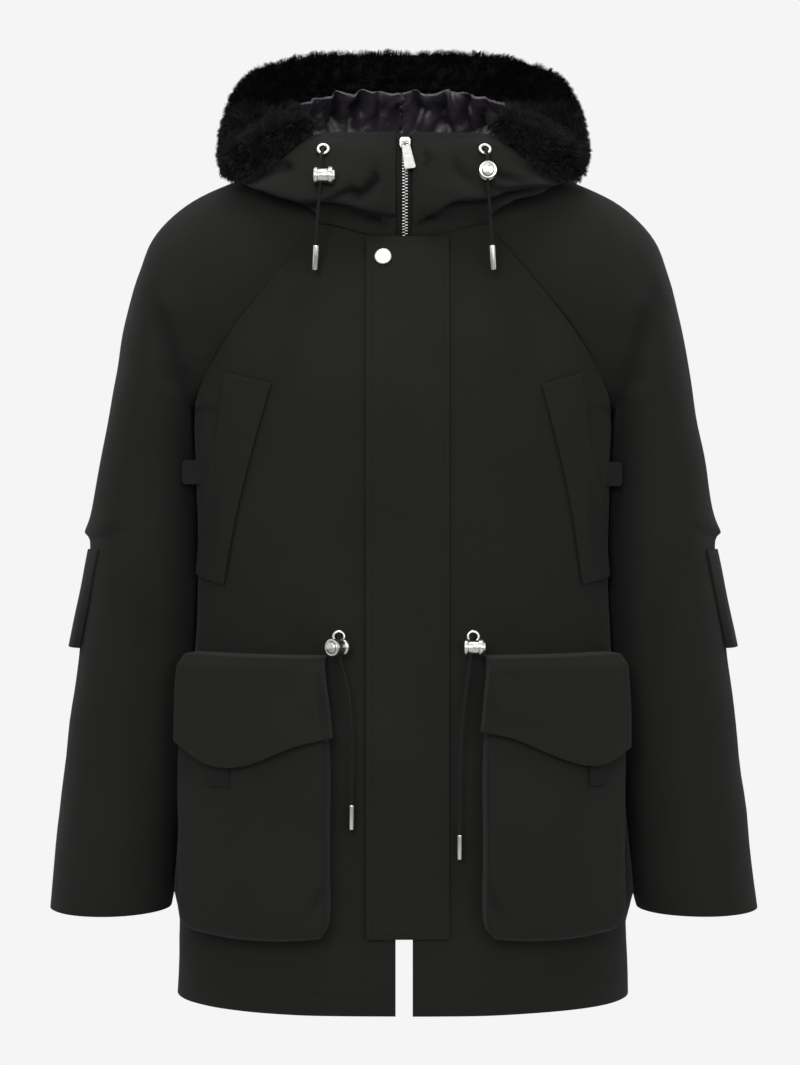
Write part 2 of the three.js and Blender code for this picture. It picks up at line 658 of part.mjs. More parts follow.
function hoodGrid(side) {
  const columns = neckLine(side).map((neck) => {
    const { point, around } = neck;
    const flip = (p) => new THREE.Vector3(side * p.x, p.y, p.z);
    const controls = ['lip', 'bulge', 'upper'].map((column) => flip(read(HOOD, 'around', column, around)));
    const collarTop = new THREE.Vector3(lerp(8, 86, around / 0.25), lerp(-108, -105, around / 0.25), 40);
    const top = around < 0.25 ? collarTop : acrossFur(furAt(around), 0.82, 2.4);
    controls.push(flip(top));
    if (around < 0.1 && side > 0) for (const p of controls) p.x += (RIGHT_EDGE - LEFT_EDGE) * (1 - around / 0.1);
    const root = fromNeck(neck, read(HOOD, 'around', 'away', around), read(HOOD, 'around', 'off', around));
    if (around === 0) root.x = point.x;
    const curve = new THREE.CatmullRomCurve3([point.clone(), root, ...controls], false, 'centripetal');
    return Array.from({ length: HOOD_ROWS + 1 }, (_, r) => curve.getPointAt(r / HOOD_ROWS));
  });
  return Array.from({ length: HOOD_ROWS + 1 }, (_, r) => columns.map((column) => column[r]));
}

const hoods = { '-1': hoodGrid(-1), 1: hoodGrid(1) };

function addHood() {
  for (const side of [-1, 1]) {
    const normals = gridNormals(hoods[side], Infinity, side);
    const last = hoods[side][0].length - 1;
    add(`hood_${sideName(side)}`, clothWall(hoods[side], CLOTH, {
      outward: side,
      trim: 'tr',
      edgeNormal: (r, c) => (c === last ? normals[r][c].clone().setX(0).normalize() : null),
    }), SHELL());
  }
}

function addLining() {
  const necks = { '-1': neckLine(-1), 1: neckLine(1) };
  const count = 16;
  const column = (side, i) => {
    const line = necks[side];
    const neck = line[Math.round(((line.length - 1) * i) / count)];
    const value = (name) => read(LINING, 'around', name, neck.around);
    const seat = fromNeck(neck, value('seatAway'), value('seatOff'));
    const low = fromNeck(neck, value('lowAway'), value('lowOff'));
    const rest = ['pouch', 'upper', 'top'].map(value);
    if (neck.around > 0.25) rest[2].copy(acrossFur(furAt(neck.around), 0.1, 4.5));
    for (const p of rest) p.x *= side;
    const front = Math.max(0, 1 - neck.around / 0.12) * (ZIP_CLEAR - LEFT_EDGE);
    seat.x += side * front;
    low.x += side * front;
    return new THREE.CatmullRomCurve3([seat, low, ...rest], false, 'centripetal');
  };
  const steps = Array.from({ length: count + 1 }, (_, i) => i);
  const curves = [...steps.map((i) => column(-1, i)), ...steps.slice(0,
    -1).reverse().map((i) => column(1, i))];
  const rows = 8;
  const grid = Array.from({ length: rows + 1 }, (_, r) => curves.map((curve) => curve.getPointAt(r / rows)));
  add('hood_lining', clothWall(grid, LINING_THICK, { outward: -1 }), NYLON());
}

// Fur trim: one closed band with a flat back and a round, deep pile
function addFur() {
  const steps = 22;
  const arc = 8;
  const section = (side, around) => {
    const row = furAt(around);
    const inner = vector(row.inner);
    const outer = vector(row.outer);
    const crown = vector(row.crown);
    const curve = new THREE.CatmullRomCurve3([inner, inner.clone().lerp(crown, 0.45)
      .add(crown.clone().sub(inner.clone().lerp(outer, 0.5)).multiplyScalar(0.28)), crown, outer],
        false, 'centripetal');
    const points = Array.from({ length: arc + 1 }, (_, i) => curve.getPoint(i / arc));
    for (const p of points) p.x *= side;
    return points;
  };
  const rings = [];
  for (let i = 0; i <= steps; i += 1) rings.push(section(-1, lerp(0.25, 1, i / steps)));
  for (let i = steps - 1; i >= 0; i -= 1) rings.push(section(1, lerp(0.25, 1, i / steps)));
  const points = rings.flat();
  const size = arc + 1;
  const faces = [];
  for (let r = 0; r < rings.length - 1; r += 1) {
    for (let c = 0; c < size; c += 1) {
      const next = (c + 1) % size;
      faces.push([r * size + c, r * size + next, (r + 1) * size + next]);
      faces.push([r * size + c, (r + 1) * size + next, (r + 1) * size + c]);
    }
  }
  const end = (rings.length - 1) * size;
  for (let c = 1; c < size - 1; c += 1) {
    faces.push([0, c + 1, c]);
    faces.push([end, end + c, end + c + 1]);
  }
  add('fur_trim', meshFrom(points, faces), PILE());
}

// A patch of cloth that lies on a front: corners at width and height, and how far its outer side stands out
function patchOnFront(name, xs, zs, out, thickness, surface) {
  const grid = zs.map((z, r) => xs(r).map((x, c) => onFront(x, z(c), out(r, c))));
  return add(name, clothWall(grid, thickness, { outward: -1 }), surface);
}

const spread = (from, to, count) => Array.from({ length: count + 1 }, (_, i) => lerp(from, to, i / count));

function addPlacket() {
  const heights = [PLACKET_TOP, -100, -150, -200, -262, ...BODY_ROWS.filter((z) => z > PLACKET_BOTTOM),
    PLACKET_BOTTOM];
  const columns = spread(PLACKET_LEFT, PLACKET_RIGHT, 4);
  const lift = (c) => PLACKET_THICK + SEAT + 1.4 * (1 - c / 4);
  patchOnFront('placket', () => columns, heights.map((z) => () => z), (r, c) => lift(c),
    PLACKET_THICK, SHELL());
  const snap = new THREE.LatheGeometry([[0, 0], [8.4, 0], [9, 0.7], [9, 1.6], [7.6, 2.5], [4, 2.9], [0, 3]]
    .map(([r, y]) => new THREE.Vector2((r * SNAP_DIAMETER) / 18, y)), 16);
  const mesh = add('placket_snap', snap, METAL());
  seatOn(mesh, onFront(SNAP_X, SNAP_Z, 0), frontNormal(SNAP_X, SNAP_Z), PLACKET_THICK + SEAT + 1.6);
}

function frontNormal(x, z) {
  return onFront(x, z, 10).sub(onFront(x, z, 0)).normalize();
}

// Turns a lathe's Y axis along a direction and seats it a little way off a point
function seatOn(mesh, point, direction, off) {
  mesh.quaternion.setFromUnitVectors(new THREE.Vector3(0, 1, 0), direction);
  mesh.position.copy(point).addScaledVector(direction, off);
}

function addWelts() {
  for (const side of [-1, 1]) {
    const corners = WELTS[sideName(side)];
    const rows = 7;
    const grid = Array.from({ length: rows + 1 }, (_, r) => {
      const t = r / rows;
      const bow = Math.sin(Math.PI * t) * 4;
      const from = [lerp(corners.topIn[0], corners.bottomIn[0], t) + bow, lerp(corners.topIn[1],
        corners.bottomIn[1], t)];
      const to = [lerp(corners.topOut[0], corners.bottomOut[0], t) + bow * 0.6,
        lerp(corners.topOut[1], corners.bottomOut[1], t)];
      return spread(0, 1, 3).map((u) => onFront(side * lerp(from[0], to[0], u), lerp(from[1], to[1], u),
        SEAT + 2.8));
    });
    add(`chest_welt_${sideName(side)}`, clothWall(grid, 2.2, { outward: -side }), SHELL());
  }
}

// Webbing tabs that stand out at the side seams under the arms
function addSideTabs() {
  const tabZ = { '-1': -320, 1: -322 };
  for (const side of [-1, 1]) {
    const reach = side < 0 ? 25 : 23;
    const shape = new THREE.Shape();
    shape.moveTo(0, -13);
    shape.lineTo(reach - 3, -13);
    shape.lineTo(reach, -10);
    shape.lineTo(reach, 10);
    shape.lineTo(reach - 3, 13);
    shape.lineTo(0, 13);
    const geometry = new THREE.ExtrudeGeometry(shape, { depth: WEBBING, bevelEnabled: false });
    const mesh = add(`side_tab_${sideName(side)}`, geometry, BRAID());
    mesh.rotation.set(Math.PI / 2, 0, side < 0 ? Math.PI : 0, 'ZXY');
    mesh.position.set(side * 210.9, side < 0 ? -68 : -68 + WEBBING, tabZ[side]);
  }
}

// Bellows pocket: a tray with its open back on the coat and its mouth at the top, under the flap
function addPockets() {
  for (const side of [-1, 1]) {
    const name = sideName(side);
    const { inner, outer, slant } = POCKETS[name];
    const width = outer - inner;
    const across = [[0, 0], [0, 0.55], [0.008, 0.86], [0.055, 1], [0.3, 1.04], [0.5, 1.05], [0.7, 1.04],
      [0.945, 1],
      [0.992, 0.86], [1, 0.55], [1, 0]];
    const down = [[0, 1], [0.25, 1], [0.5, 1.03], [0.75, 1.03], [0.93, 1], [0.985, 0.84], [1, 0.5], [1, 0]];
    const grid = down.map(([v, dz]) => across.map(([u, dx]) => {
      const corner = Math.max(0, v - 0.93) / 0.07;
      const pull = POCKET_ROUND * corner * (u < 0.5
        ? 1 - Math.min(1, u / 0.3) : -(1 - Math.min(1, (1 - u) / 0.3)));
      const x = inner + u * width + pull + slant * Math.max(0, 1 - v / 0.25) * Math.max(0, 1 - u * 2);
      const sag = 4 * Math.sin(Math.PI * u) * v;
      const z = lerp(POCKET_TOP, POCKET_BOTTOM, v) - sag;
      const out = POCKET_SEAT + POCKET_DEPTH * Math.min(dx, dz, dx * dz * 1.02);
      return onPocket(side, x, z, out);
    }));
    add(`cargo_pocket_${name}`, clothWall(grid, 2, { outward: -side }), SHELL());
  }
}

// Pockets reach round the side: past the coat's half width the point slides straight out from the cloth there
function onPocket(side, x, z, out) {
  const half = read(BODY, 'z', 'half', z);
  const limit = half * 0.94;
  const near = Math.min(x, limit + (x - limit) * 0.15);
  const point = onFront(side * Math.min(near, half - 3), z, 0);
  const normal = frontNormal(side * Math.min(near, half - 3), z);
  const front = new THREE.Vector3(0, -1, 0);
  const blend = new THREE.Vector3().lerpVectors(front, normal, 0.6).normalize();
  return point.addScaledVector(blend, out).add(new THREE.Vector3(side * Math.max(0, x - near) * 0.5, 0, 0));
}

// Flap of a cargo pocket: from the seam on the coat, out over the mouth and down the pocket's face
function addFlaps() {
  for (const side of [-1, 1]) {
    const name = sideName(side);
    const { inner, outer, slant } = POCKETS[name];
    const slants = [1, 1, 1, 0.65, 0.3, 0];
    const reach = POCKET_SEAT + POCKET_DEPTH * 1.05 + FLAP_OVER;
    const across = [[0, 0.5], [0.012, 0.86], [0.06, 1], [0.2, 1], [0.34, 1.01], [0.5, 1.02], [0.66, 1.01],
      [0.8, 1],
      [0.94, 1], [0.988, 0.86], [1, 0.5]];
    const grid = [0, 1, 2, 3, 4, 5].map((r) => across.map(([u, deep]) => {
      const edge = read(FLAP_EDGE, 'across', name, u);
      const heights = [FLAP_SEAM, FLAP_SEAM - 3, FLAP_FRONT, lerp(FLAP_FRONT, edge, 0.35),
        lerp(FLAP_FRONT, edge, 0.7), edge];
      const outs = [WEBBING + SEAM_GAP + 0.1, reach * 0.6 * deep + 2, reach * deep - 2, reach * deep,
        reach * deep, reach * deep];
      const start = inner - FLAP_WIDER + slant * slants[r];
      return onPocket(side, lerp(start, outer + FLAP_WIDER, u), heights[r], outs[r]);
    }));
    add(`cargo_flap_${name}`, clothWall(grid, WEBBING, { outward: -side }), SHELL());
  }
}

// Short webbing tab that hangs from under each flap and lies on the pocket's face
function addFlapTabs() {
  for (const side of [-1, 1]) {
    const name = sideName(side);
    const { from, to } = FLAP_TABS[name];
    const face = POCKET_SEAT + POCKET_DEPTH + WEBBING + SEAM_GAP;
    const grid = [0, 0.5, 1].map((t) => spread(from, to, 2)
      .map((x) => onPocket(side, x, lerp(TAB_TOP, TAB_BOTTOM, t), face + 0.5 * t)));
    add(`flap_tab_${name}`, clothWall(grid, WEBBING, { outward: -side }), BRAID());
  }
}

// The line of the front edges, seen from the side, from the top of the collar down
function closureLine() {
  const collar = hoods[-1].map((row) => row[0]).reverse();
  const body = fronts[-1].slice(1).map((row) => row[0]).filter((p) => p.z > ZIP_END_Z);
  const points = [...collar, ...body].map((p) => new THREE.Vector3(0, p.y, p.z));
  return points.map((point, i) => {
    const way = points[Math.min(i + 1, points.length - 1)].clone().sub(points[Math.max(i - 1,
      0)]).normalize();
    return { point, out: new THREE.Vector3(0, way.z, -way.y) };
  });
}

function addZip() {
  const line = closureLine();
  const strip = (name, stations, xs, out, thickness, surface) => {
    const grid = stations.map(({ point, out: normal }) => xs.map((x, i) => (
      new THREE.Vector3(x, point.y, point.z).addScaledVector(normal, out[i]))));
    add(name, clothWall(grid, thickness, { outward: -1 }), surface);
  };
  const half = CHAIN_WIDTH / 2;
  const tapeEdge = half + 0.4;
  strip('zip_tape_left', line, [ZIP_X - tapeEdge - TAPE_WIDTH, ZIP_X - tapeEdge], [-5, -3.5], 1, BRAID());
  strip('zip_tape_right', line, [ZIP_X + tapeEdge, ZIP_X + tapeEdge + TAPE_WIDTH - 4], [-3.5, -5],
    1, BRAID());
  strip('zip_chain', line.slice(1), [ZIP_X - half, ZIP_X + half], [-1.4, -1.4], 3, METAL());
  const at = new THREE.CatmullRomCurve3(line.slice(0, 6).map(({ point }) => point));
  let seat = at.getPoint(0);
  for (let t = 0; t <= 1; t += 0.005) {
    const p = at.getPoint(t);
    if (Math.abs(p.z - SLIDER_Z) < Math.abs(seat.z - SLIDER_Z)) seat = p;
  }
  const lean = Math.atan2(line[0].point.y - line[3].point.y, line[0].point.z - line[3].point.z);
  const hinge = new THREE.Group();
  hinge.position.set(ZIP_X, seat.y, seat.z);
  hinge.rotation.x = -lean;
  parka.add(hinge);
  addSlider(hinge);
}

function solidFrom(geometry) {
  const bare = geometry.index ? geometry.toNonIndexed() : geometry.clone();
  bare.deleteAttribute('normal');
  bare.deleteAttribute('uv');
  const merged = mergeVertices(bare, 1e-4);
  return new wasm.Manifold(new wasm.Mesh({
    numProp: 3,
    vertProperties: new Float32Array(merged.attributes.position.array),
    triVerts: new Uint32Array(merged.index.array),
  }));
}

function geometryFrom(solid) {
  const mesh = solid.getMesh();
  const geometry = new THREE.BufferGeometry();
  geometry.setAttribute('position', new THREE.Float32BufferAttribute(mesh.vertProperties, 3));
  geometry.setIndex(Array.from(mesh.triVerts));
  geometry.computeVertexNormals();
  return geometry;
}

// A plate drawn in width and height and given a thickness from front to back, its middle on the plane y = 0
function plate(shape, thickness) {
  const geometry = new THREE.ExtrudeGeometry(shape, { depth: thickness, bevelEnabled: false,
    curveSegments: 6 });
  geometry.translate(0, 0, -thickness / 2);
  geometry.rotateX(Math.PI / 2);
  return geometry;
}

// Slider with its arch, and the pull that swings on the arch
function addSlider(hinge) {
  const outline = new THREE.Shape([[-4.2, -6.5], [4.2, -6.5], [5.6, -3], [5.6, 4.5], [3.6, 6.8],
    [-3.6, 6.8], [-5.6, 4.5],
    [-5.6, -3]].map(([x, y]) => new THREE.Vector2(x, y)));
  const face = plate(outline, 2);
  face.translate(0, -PLATE_OUT, 0);
  const ring = new THREE.Shape();
  ring.absarc(0, 0, ARCH_OUTER, 0, 2 * Math.PI);
  const hole = new THREE.Path();
  hole.absarc(0, 0, ARCH_INNER, 0, 2 * Math.PI, true);
  ring.holes.push(hole);
  const arch = new THREE.ExtrudeGeometry(ring, { depth: ARCH_WIDTH, bevelEnabled: false, curveSegments: 10 });
  arch.translate(0, 0, -ARCH_WIDTH / 2);
  arch.rotateY(Math.PI / 2);
  arch.translate(0, -ARCH_OUT, 0);
  const slider = new THREE.Mesh(geometryFrom(solidFrom(face).add(solidFrom(arch))), METAL());
  slider.name = 'zip_slider';
  hinge.add(slider);

  const pullShape = new THREE.Shape([[-4.4, 1], [4.4, 1], [4.6, -6], [6.2, -PULL_LENGTH + 1.6],
    [5, -PULL_LENGTH],
    [-5, -PULL_LENGTH], [-6.2, -PULL_LENGTH + 1.6], [-4.6, -6]].map(([x, y]) => new THREE.Vector2(x, y)));
  pullShape.holes.push(new THREE.Path([[-2.7, -1], [-2.7, -5.4], [2.7, -5.4], [2.7, -1]]
    .map(([x, y]) => new THREE.Vector2(x, y))));
  const pull = new THREE.Mesh(plate(pullShape, 1.6), METAL());
  pull.name = 'zip_pull';
  pull.position.set(0, -ARCH_OUT, 0);
  pull.rotation.y = -PULL_TILT;
  hinge.add(pull);
}

// The point of the hood's front at a width and a height, and the way out from it
function onHood(side, x, z) {
  let best = null;
  const grid = hoods[side];
  for (let r = 1; r < grid.length - 1; r += 1) {
    for (let c = 0; c < FRONT_COLUMNS + 2; c += 1) {
      const [a, b, d, e] = [grid[r][c], grid[r][c + 1], grid[r + 1][c], grid[r + 1][c + 1]];
      for (let i = 0; i < 12; i += 1) {
        for (let j = 0; j < 12; j += 1) {
          const point = a.clone().lerp(b, i / 12).lerp(d.clone().lerp(e, i / 12), j / 12);
          const miss = Math.hypot(point.x - x, point.z - z);
          if (!best || miss < best.miss) {
            const out = new THREE.Vector3().crossVectors(b.clone().sub(a), d.clone().sub(a)).normalize();
            best = { miss, point, out: out.y < 0 ? out : out.negate() };
          }
        }
      }
    }
  }
  return best;
}

const cylinder = (diameter, length, sides = 14) => new THREE.CylinderGeometry(diameter / 2, diameter / 2,
  length, sides);

function addDrawcord(key, cord) {
  const [place, name] = key.split('_');
  const side = name === 'left' ? -1 : 1;
  const [x, z] = cord.eyelet;
  const seat = place === 'hood' ? onHood(side, x, z) : { point: onFront(x, z, 0), out: frontNormal(x, z) };
  const outer = EYELET_OUTER / 2;
  const hole = EYELET_HOLE / 2;
  const mid = (outer + hole) / 2;
  const section = [[hole, 0], [outer, 0], [outer - 0.5, 1.1], [mid, EYELET_THICK], [hole, 1], [hole, 0]];
  const ring = new THREE.LatheGeometry(section.map(([r, y]) => new THREE.Vector2(r, y)), 16);
  seatOn(add(`${place}_eyelet_${name}`, ring, METAL()), seat.point, seat.out, SEAT + 0.2);

  const route = new THREE.CatmullRomCurve3(cord.route.map(vector));
  const octagon = new THREE.Shape(Array.from({ length: 8 }, (_, i) => new THREE.Vector2(
    (CORD_DIAMETER / 2) * Math.cos((i * Math.PI) / 4),
    (CORD_DIAMETER / 2) * Math.sin((i * Math.PI) / 4),
  )));
  const steps = Math.round(route.getLength() / CORD_STEP);
  add(`${place}_cord_${name}`, new THREE.ExtrudeGeometry(octagon, { steps, extrudePath: route }), BRAID());

  const r = CORD_END_DIAMETER / 2;
  const end = new THREE.LatheGeometry([[0, 0], [r - 0.5, 0], [r, 0.5], [r, CORD_END_LENGTH - 0.5],
    [r - 0.5, CORD_END_LENGTH], [0, CORD_END_LENGTH]].map(([a, b]) => new THREE.Vector2(a, b)), 12);
  const last = vector(cord.route[cord.route.length - 1]);
  const before = vector(cord.route[cord.route.length - 2]);
  seatOn(add(`${place}_cord_end_${name}`, end, METAL()), last, last.clone().sub(before).normalize(),
    SEAM_GAP);

  const lock = new THREE.Group();
  lock.position.set(...cord.lock);
  lock.rotation.z = THREE.MathUtils.degToRad(cord.turn);
  parka.add(lock);
  addLock(lock, place, name);
}

// Cord lock: a barrel with a rim at each end, a hole across it for the cord and a socket for its spring
// button
function addLock(group, place, name) {
  const rim = LOCK_RIM_DIAMETER / 2;
  const waist = LOCK_DIAMETER / 2;
  const back = -LOCK_LENGTH + LOCK_REACH;
  const profile = [[0, back], [rim - 1.2, back], [rim - 0.4, back + 0.8],
    [rim - 0.4, back + LOCK_RIM_LENGTH - 1],
    [waist, back + LOCK_RIM_LENGTH], [waist, LOCK_REACH - LOCK_RIM_LENGTH],
      [rim, LOCK_REACH - LOCK_RIM_LENGTH + 0.8],
    [rim, LOCK_REACH - 0.8], [rim - 0.8, LOCK_REACH], [0, LOCK_REACH]];
  const barrel = new THREE.LatheGeometry(profile.map(([r, y]) => new THREE.Vector2(r, y)), 14);
  const socket = cylinder(BUTTON_DIAMETER + 0.8, 2 * SOCKET_DEPTH);
  socket.translate(0, LOCK_REACH, 0);
  const passage = cylinder(CORD_DIAMETER + 1.6, 30, 10);
  passage.rotateX(Math.PI / 2);
  const solid = solidFrom(barrel).subtract(solidFrom(socket)).subtract(solidFrom(passage));
  const shape = geometryFrom(solid);
  shape.rotateZ(-Math.PI / 2);
  const body = new THREE.Mesh(shape, METAL());
  body.name = `${place}_lock_${name}`;
  group.add(body);

  const r = BUTTON_DIAMETER / 2;
  const knob = new THREE.LatheGeometry([[0, 0], [r, 0], [r, BUTTON_LENGTH - 0.9], [r - 0.9, BUTTON_LENGTH],
    [0, BUTTON_LENGTH + 0.2]].map(([a, b]) => new THREE.Vector2(a, b)), 14);
  knob.rotateZ(-Math.PI / 2);
  const button = new THREE.Mesh(knob, METAL());
  button.name = `${place}_lock_button_${name}`;
  button.position.x = LOCK_REACH + BUTTON_PROUD - BUTTON_LENGTH;
  group.add(button);
}

addBody();
addElbowPanels();
addHood();
addLining();
addFur();
addPlacket();
addZip();
addWelts();
addSideTabs();
addPockets();
addFlaps();
addFlapTabs();
for (const [key, cord] of Object.entries(CORDS)) addDrawcord(key, cord);

export default parka;
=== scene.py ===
import math

import bmesh
import bpy
import numpy as np
from bpy.props import FloatProperty, FloatVectorProperty, IntProperty, PointerProperty
from mathutils import Matrix, Vector
from mathutils.bvhtree import BVHTree
from mathutils.kdtree import KDTree


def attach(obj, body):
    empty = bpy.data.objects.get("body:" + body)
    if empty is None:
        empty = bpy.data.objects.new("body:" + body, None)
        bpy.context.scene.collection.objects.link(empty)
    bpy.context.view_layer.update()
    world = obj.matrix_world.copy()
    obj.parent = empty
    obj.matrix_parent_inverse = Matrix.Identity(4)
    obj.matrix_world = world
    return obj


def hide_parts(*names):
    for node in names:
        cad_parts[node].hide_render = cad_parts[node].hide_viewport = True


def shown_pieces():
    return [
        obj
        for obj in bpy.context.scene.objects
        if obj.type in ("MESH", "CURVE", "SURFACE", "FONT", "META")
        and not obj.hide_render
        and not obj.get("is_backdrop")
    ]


bl_info = {
    "name": "Hooded parka",
    "version": (1, 0, 0),
    "blender": (4, 5, 0),
    "location": "View3D > Sidebar > Parka",
    "description": "Builds a hooded parka with a fur edge, pockets, zip and drawcords",
    "category": "Object",
}

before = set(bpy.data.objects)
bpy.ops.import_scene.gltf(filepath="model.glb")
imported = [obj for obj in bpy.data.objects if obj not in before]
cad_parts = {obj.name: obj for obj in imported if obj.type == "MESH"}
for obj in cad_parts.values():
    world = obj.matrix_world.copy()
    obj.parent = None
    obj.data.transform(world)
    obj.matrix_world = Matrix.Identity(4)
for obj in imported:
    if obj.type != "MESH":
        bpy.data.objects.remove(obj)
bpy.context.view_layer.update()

MM = 0.001
SIDES = (("left", -1), ("right", 1))
STRAND_HALF_WIDTH = 0.00029

# Drawcords: routes in millimetres from the eyelet to the metal end
CORD_ROUTES = {
    "hood_left": [
        (-84.24, -126.3, 18.05), (-84.25, -127.9, 18.95), (-84.3, -130, 19.2), (-84.5, -133, 17.9),
        (-84.9, -137.5, 14.9), (-85.5, -142.5, 11), (-86.1, -147, 6.2), (-86.45, -149.4, 1),
        (-86.5, -150, -5), (-86.5, -150, -13), (-86.6, -150, -24), (-88, -148.4, -40), (-89.6, -145, -58),
        (-91, -141, -84)],
    "hood_right": [
        (86.26, -126.15, 18), (86.42, -127.75, 18.9), (86.6, -129.85, 19.2), (86.8, -133, 18.1),
        (87.1, -137.5, 15.6), (87.5, -142.5, 12.6), (87.85, -147, 8.6), (88, -149.5, 4.3), (88, -150, 0),
        (88, -150, -9), (88.1, -150, -20), (89.6, -148.6, -38), (91.4, -145, -58), (93, -142, -84)],
    "waist_left": [
        (-67.04, -143.45, -494), (-67.35, -146.5, -493.9), (-67.3, -151, -492.2), (-66.9, -156, -489.9),
        (-66.2, -159.3, -490.9), (-66, -160, -494.6), (-66, -160, -504), (-65.9, -160, -514),
        (-62, -161, -529), (-56.6, -161.6, -552), (-53.8, -162, -580), (-53, -161.6, -612),
        (-53.2, -161, -640), (-53.6, -160, -667)],
    "waist_right": [
        (73.04, -142.7, -494), (73.4, -146, -493.9), (73.2, -151, -492.2), (72, -156, -489.9),
        (70.5, -159.3, -490.9),
        (70, -160, -494.6), (70, -160, -504), (69.9, -160, -514), (67.4, -161, -534), (64, -161.6, -562),
        (61, -162, -596), (59.6, -161.8, -632), (59, -161, -668), (58.8, -160, -698)],
}

# Cord locks: the middle of the cord's hole, and the turn of the barrel about Z in degrees
LOCKS = {
    "hood_left": ((-86.5, -150, -13), 0),
    "hood_right": ((88, -150, -9), -90),
    "waist_left": ((-66, -160, -504), -130),
    "waist_right": ((70, -160, -504), 0),
}

# Eyelets, cord ends and the snap: base point and the direction they face
EYELETS = {
    "hood_left": ((-84.24, -126.71, 18.4), (-0.003, -0.755, 0.655)),
    "hood_right": ((86.33, -126.56, 18.38), (0.109, -0.733, 0.671)),
    "waist_left": ((-67.12, -144.08, -493.98), (-0.116, -0.993, 0.021)),
    "waist_right": ((73.13, -143.33, -493.98), (0.133, -0.991, 0.021)),
}
CORD_ENDS = {
    "hood_left": ((-91.02, -140.95, -84.34), (-0.053, 0.152, -0.987)),
    "hood_right": ((93.02, -141.96, -84.34), (0.061, 0.114, -0.992)),
    "waist_left": ((-53.61, -159.99, -667.34), (-0.015, 0.037, -0.999)),
    "waist_right": ((58.8, -159.99, -698.34), (-0.007, 0.033, -0.999)),
}
CORD_RADIUS = 1.5 * MM
CORD_HOLE = 2.3 * MM

# Turned metal pieces: radius and height in mm, from the foot or along the barrel
LOCK_PROFILE = [
    (0, -7), (7.6, -7), (8.5, -6.5), (8.85, -5.8), (8.85, -3.2), (8.4, -2.6), (7.5, -2), (7.5, 8), (8.6, 8.4),
    (9.25, 8.9), (9.25, 12.2), (9.0, 12.8), (8.4, 13), (6.9, 13), (6.45, 12.7), (6.4, 5), (0, 5)]
BUTTON_PROFILE = [(0, 8.5), (5.7, 8.5), (6.0, 8.9), (6.0, 14.6), (5.7, 15.2), (4.9, 15.5), (0, 15.7)]
EYELET_PROFILE = [
    (3.5, -0.3), (7.1, -0.3), (7.3, 0.3), (7.2, 1.3), (6.4, 2.0), (5.4, 2.25), (4.4, 2.0), (3.65, 1.4),
    (3.5, 0.4), (3.5, -0.3)]
CORD_END_PROFILE = [
    (0, 0), (1.7, 0), (2.9, 0.15), (3.2, 0.6), (3.25, 1.2), (3.25, 24.9), (3.1, 25.6), (2.7, 26), (2.0, 26),
    (1.8, 25.4), (0, 25.4)]
SNAP_PROFILE = [
    (0, 0), (8.5, 0), (8.95, 0.4), (9, 1.2), (8.6, 1.9), (7.6, 2.4), (7.0, 2.45), (6.6, 2.3), (6.2, 2.35),
    (4.5, 2.7), (2.5, 2.9), (0, 3)]
SNAP = ((-21.13, -131.14, -95.01), (-0.02, -0.95, 0.31))

# Outer line of the zip chain in the middle plane, as y and z
ZIP_LINE = [
    (-113.9, 26.1), (-120.5, 12.7), (-125.2, -1.5), (-128.5, -16), (-129.5, -30.7), (-126.7, -45.3),
    (-122.2, -59.5), (-116.6, -74.1), (-123.6, -96.4), (-130.7, -119.4), (-136.6, -143.3),
    (-141.5, -167.3), (-145.4, -191.2),
    (-147.9, -214.1), (-149.1, -238.1), (-149.6, -262), (-149.9, -300), (-149.3, -345), (-147.6, -399.9),
    (-144.9, -460), (-145.5, -520), (-148.3, -590), (-149.3, -660), (-150, -740)]
ZIP_X = 2

# Lengths of the cloth's long and short waves, the depth at which a dent gets its full painted shade,
# and how far the cloth lies calm round an eyelet
LONG_WAVE = 0.16
SHORT_WAVE = 0.06
PAINTED_SHADE_DENT = 0.0075
EYELET_CALM = 0.013

# Where front and back meet at the side seam, their rims lap this far, over this reach from the seam
SEAM_LAP = 0.0007
SEAM_REACH = 0.004
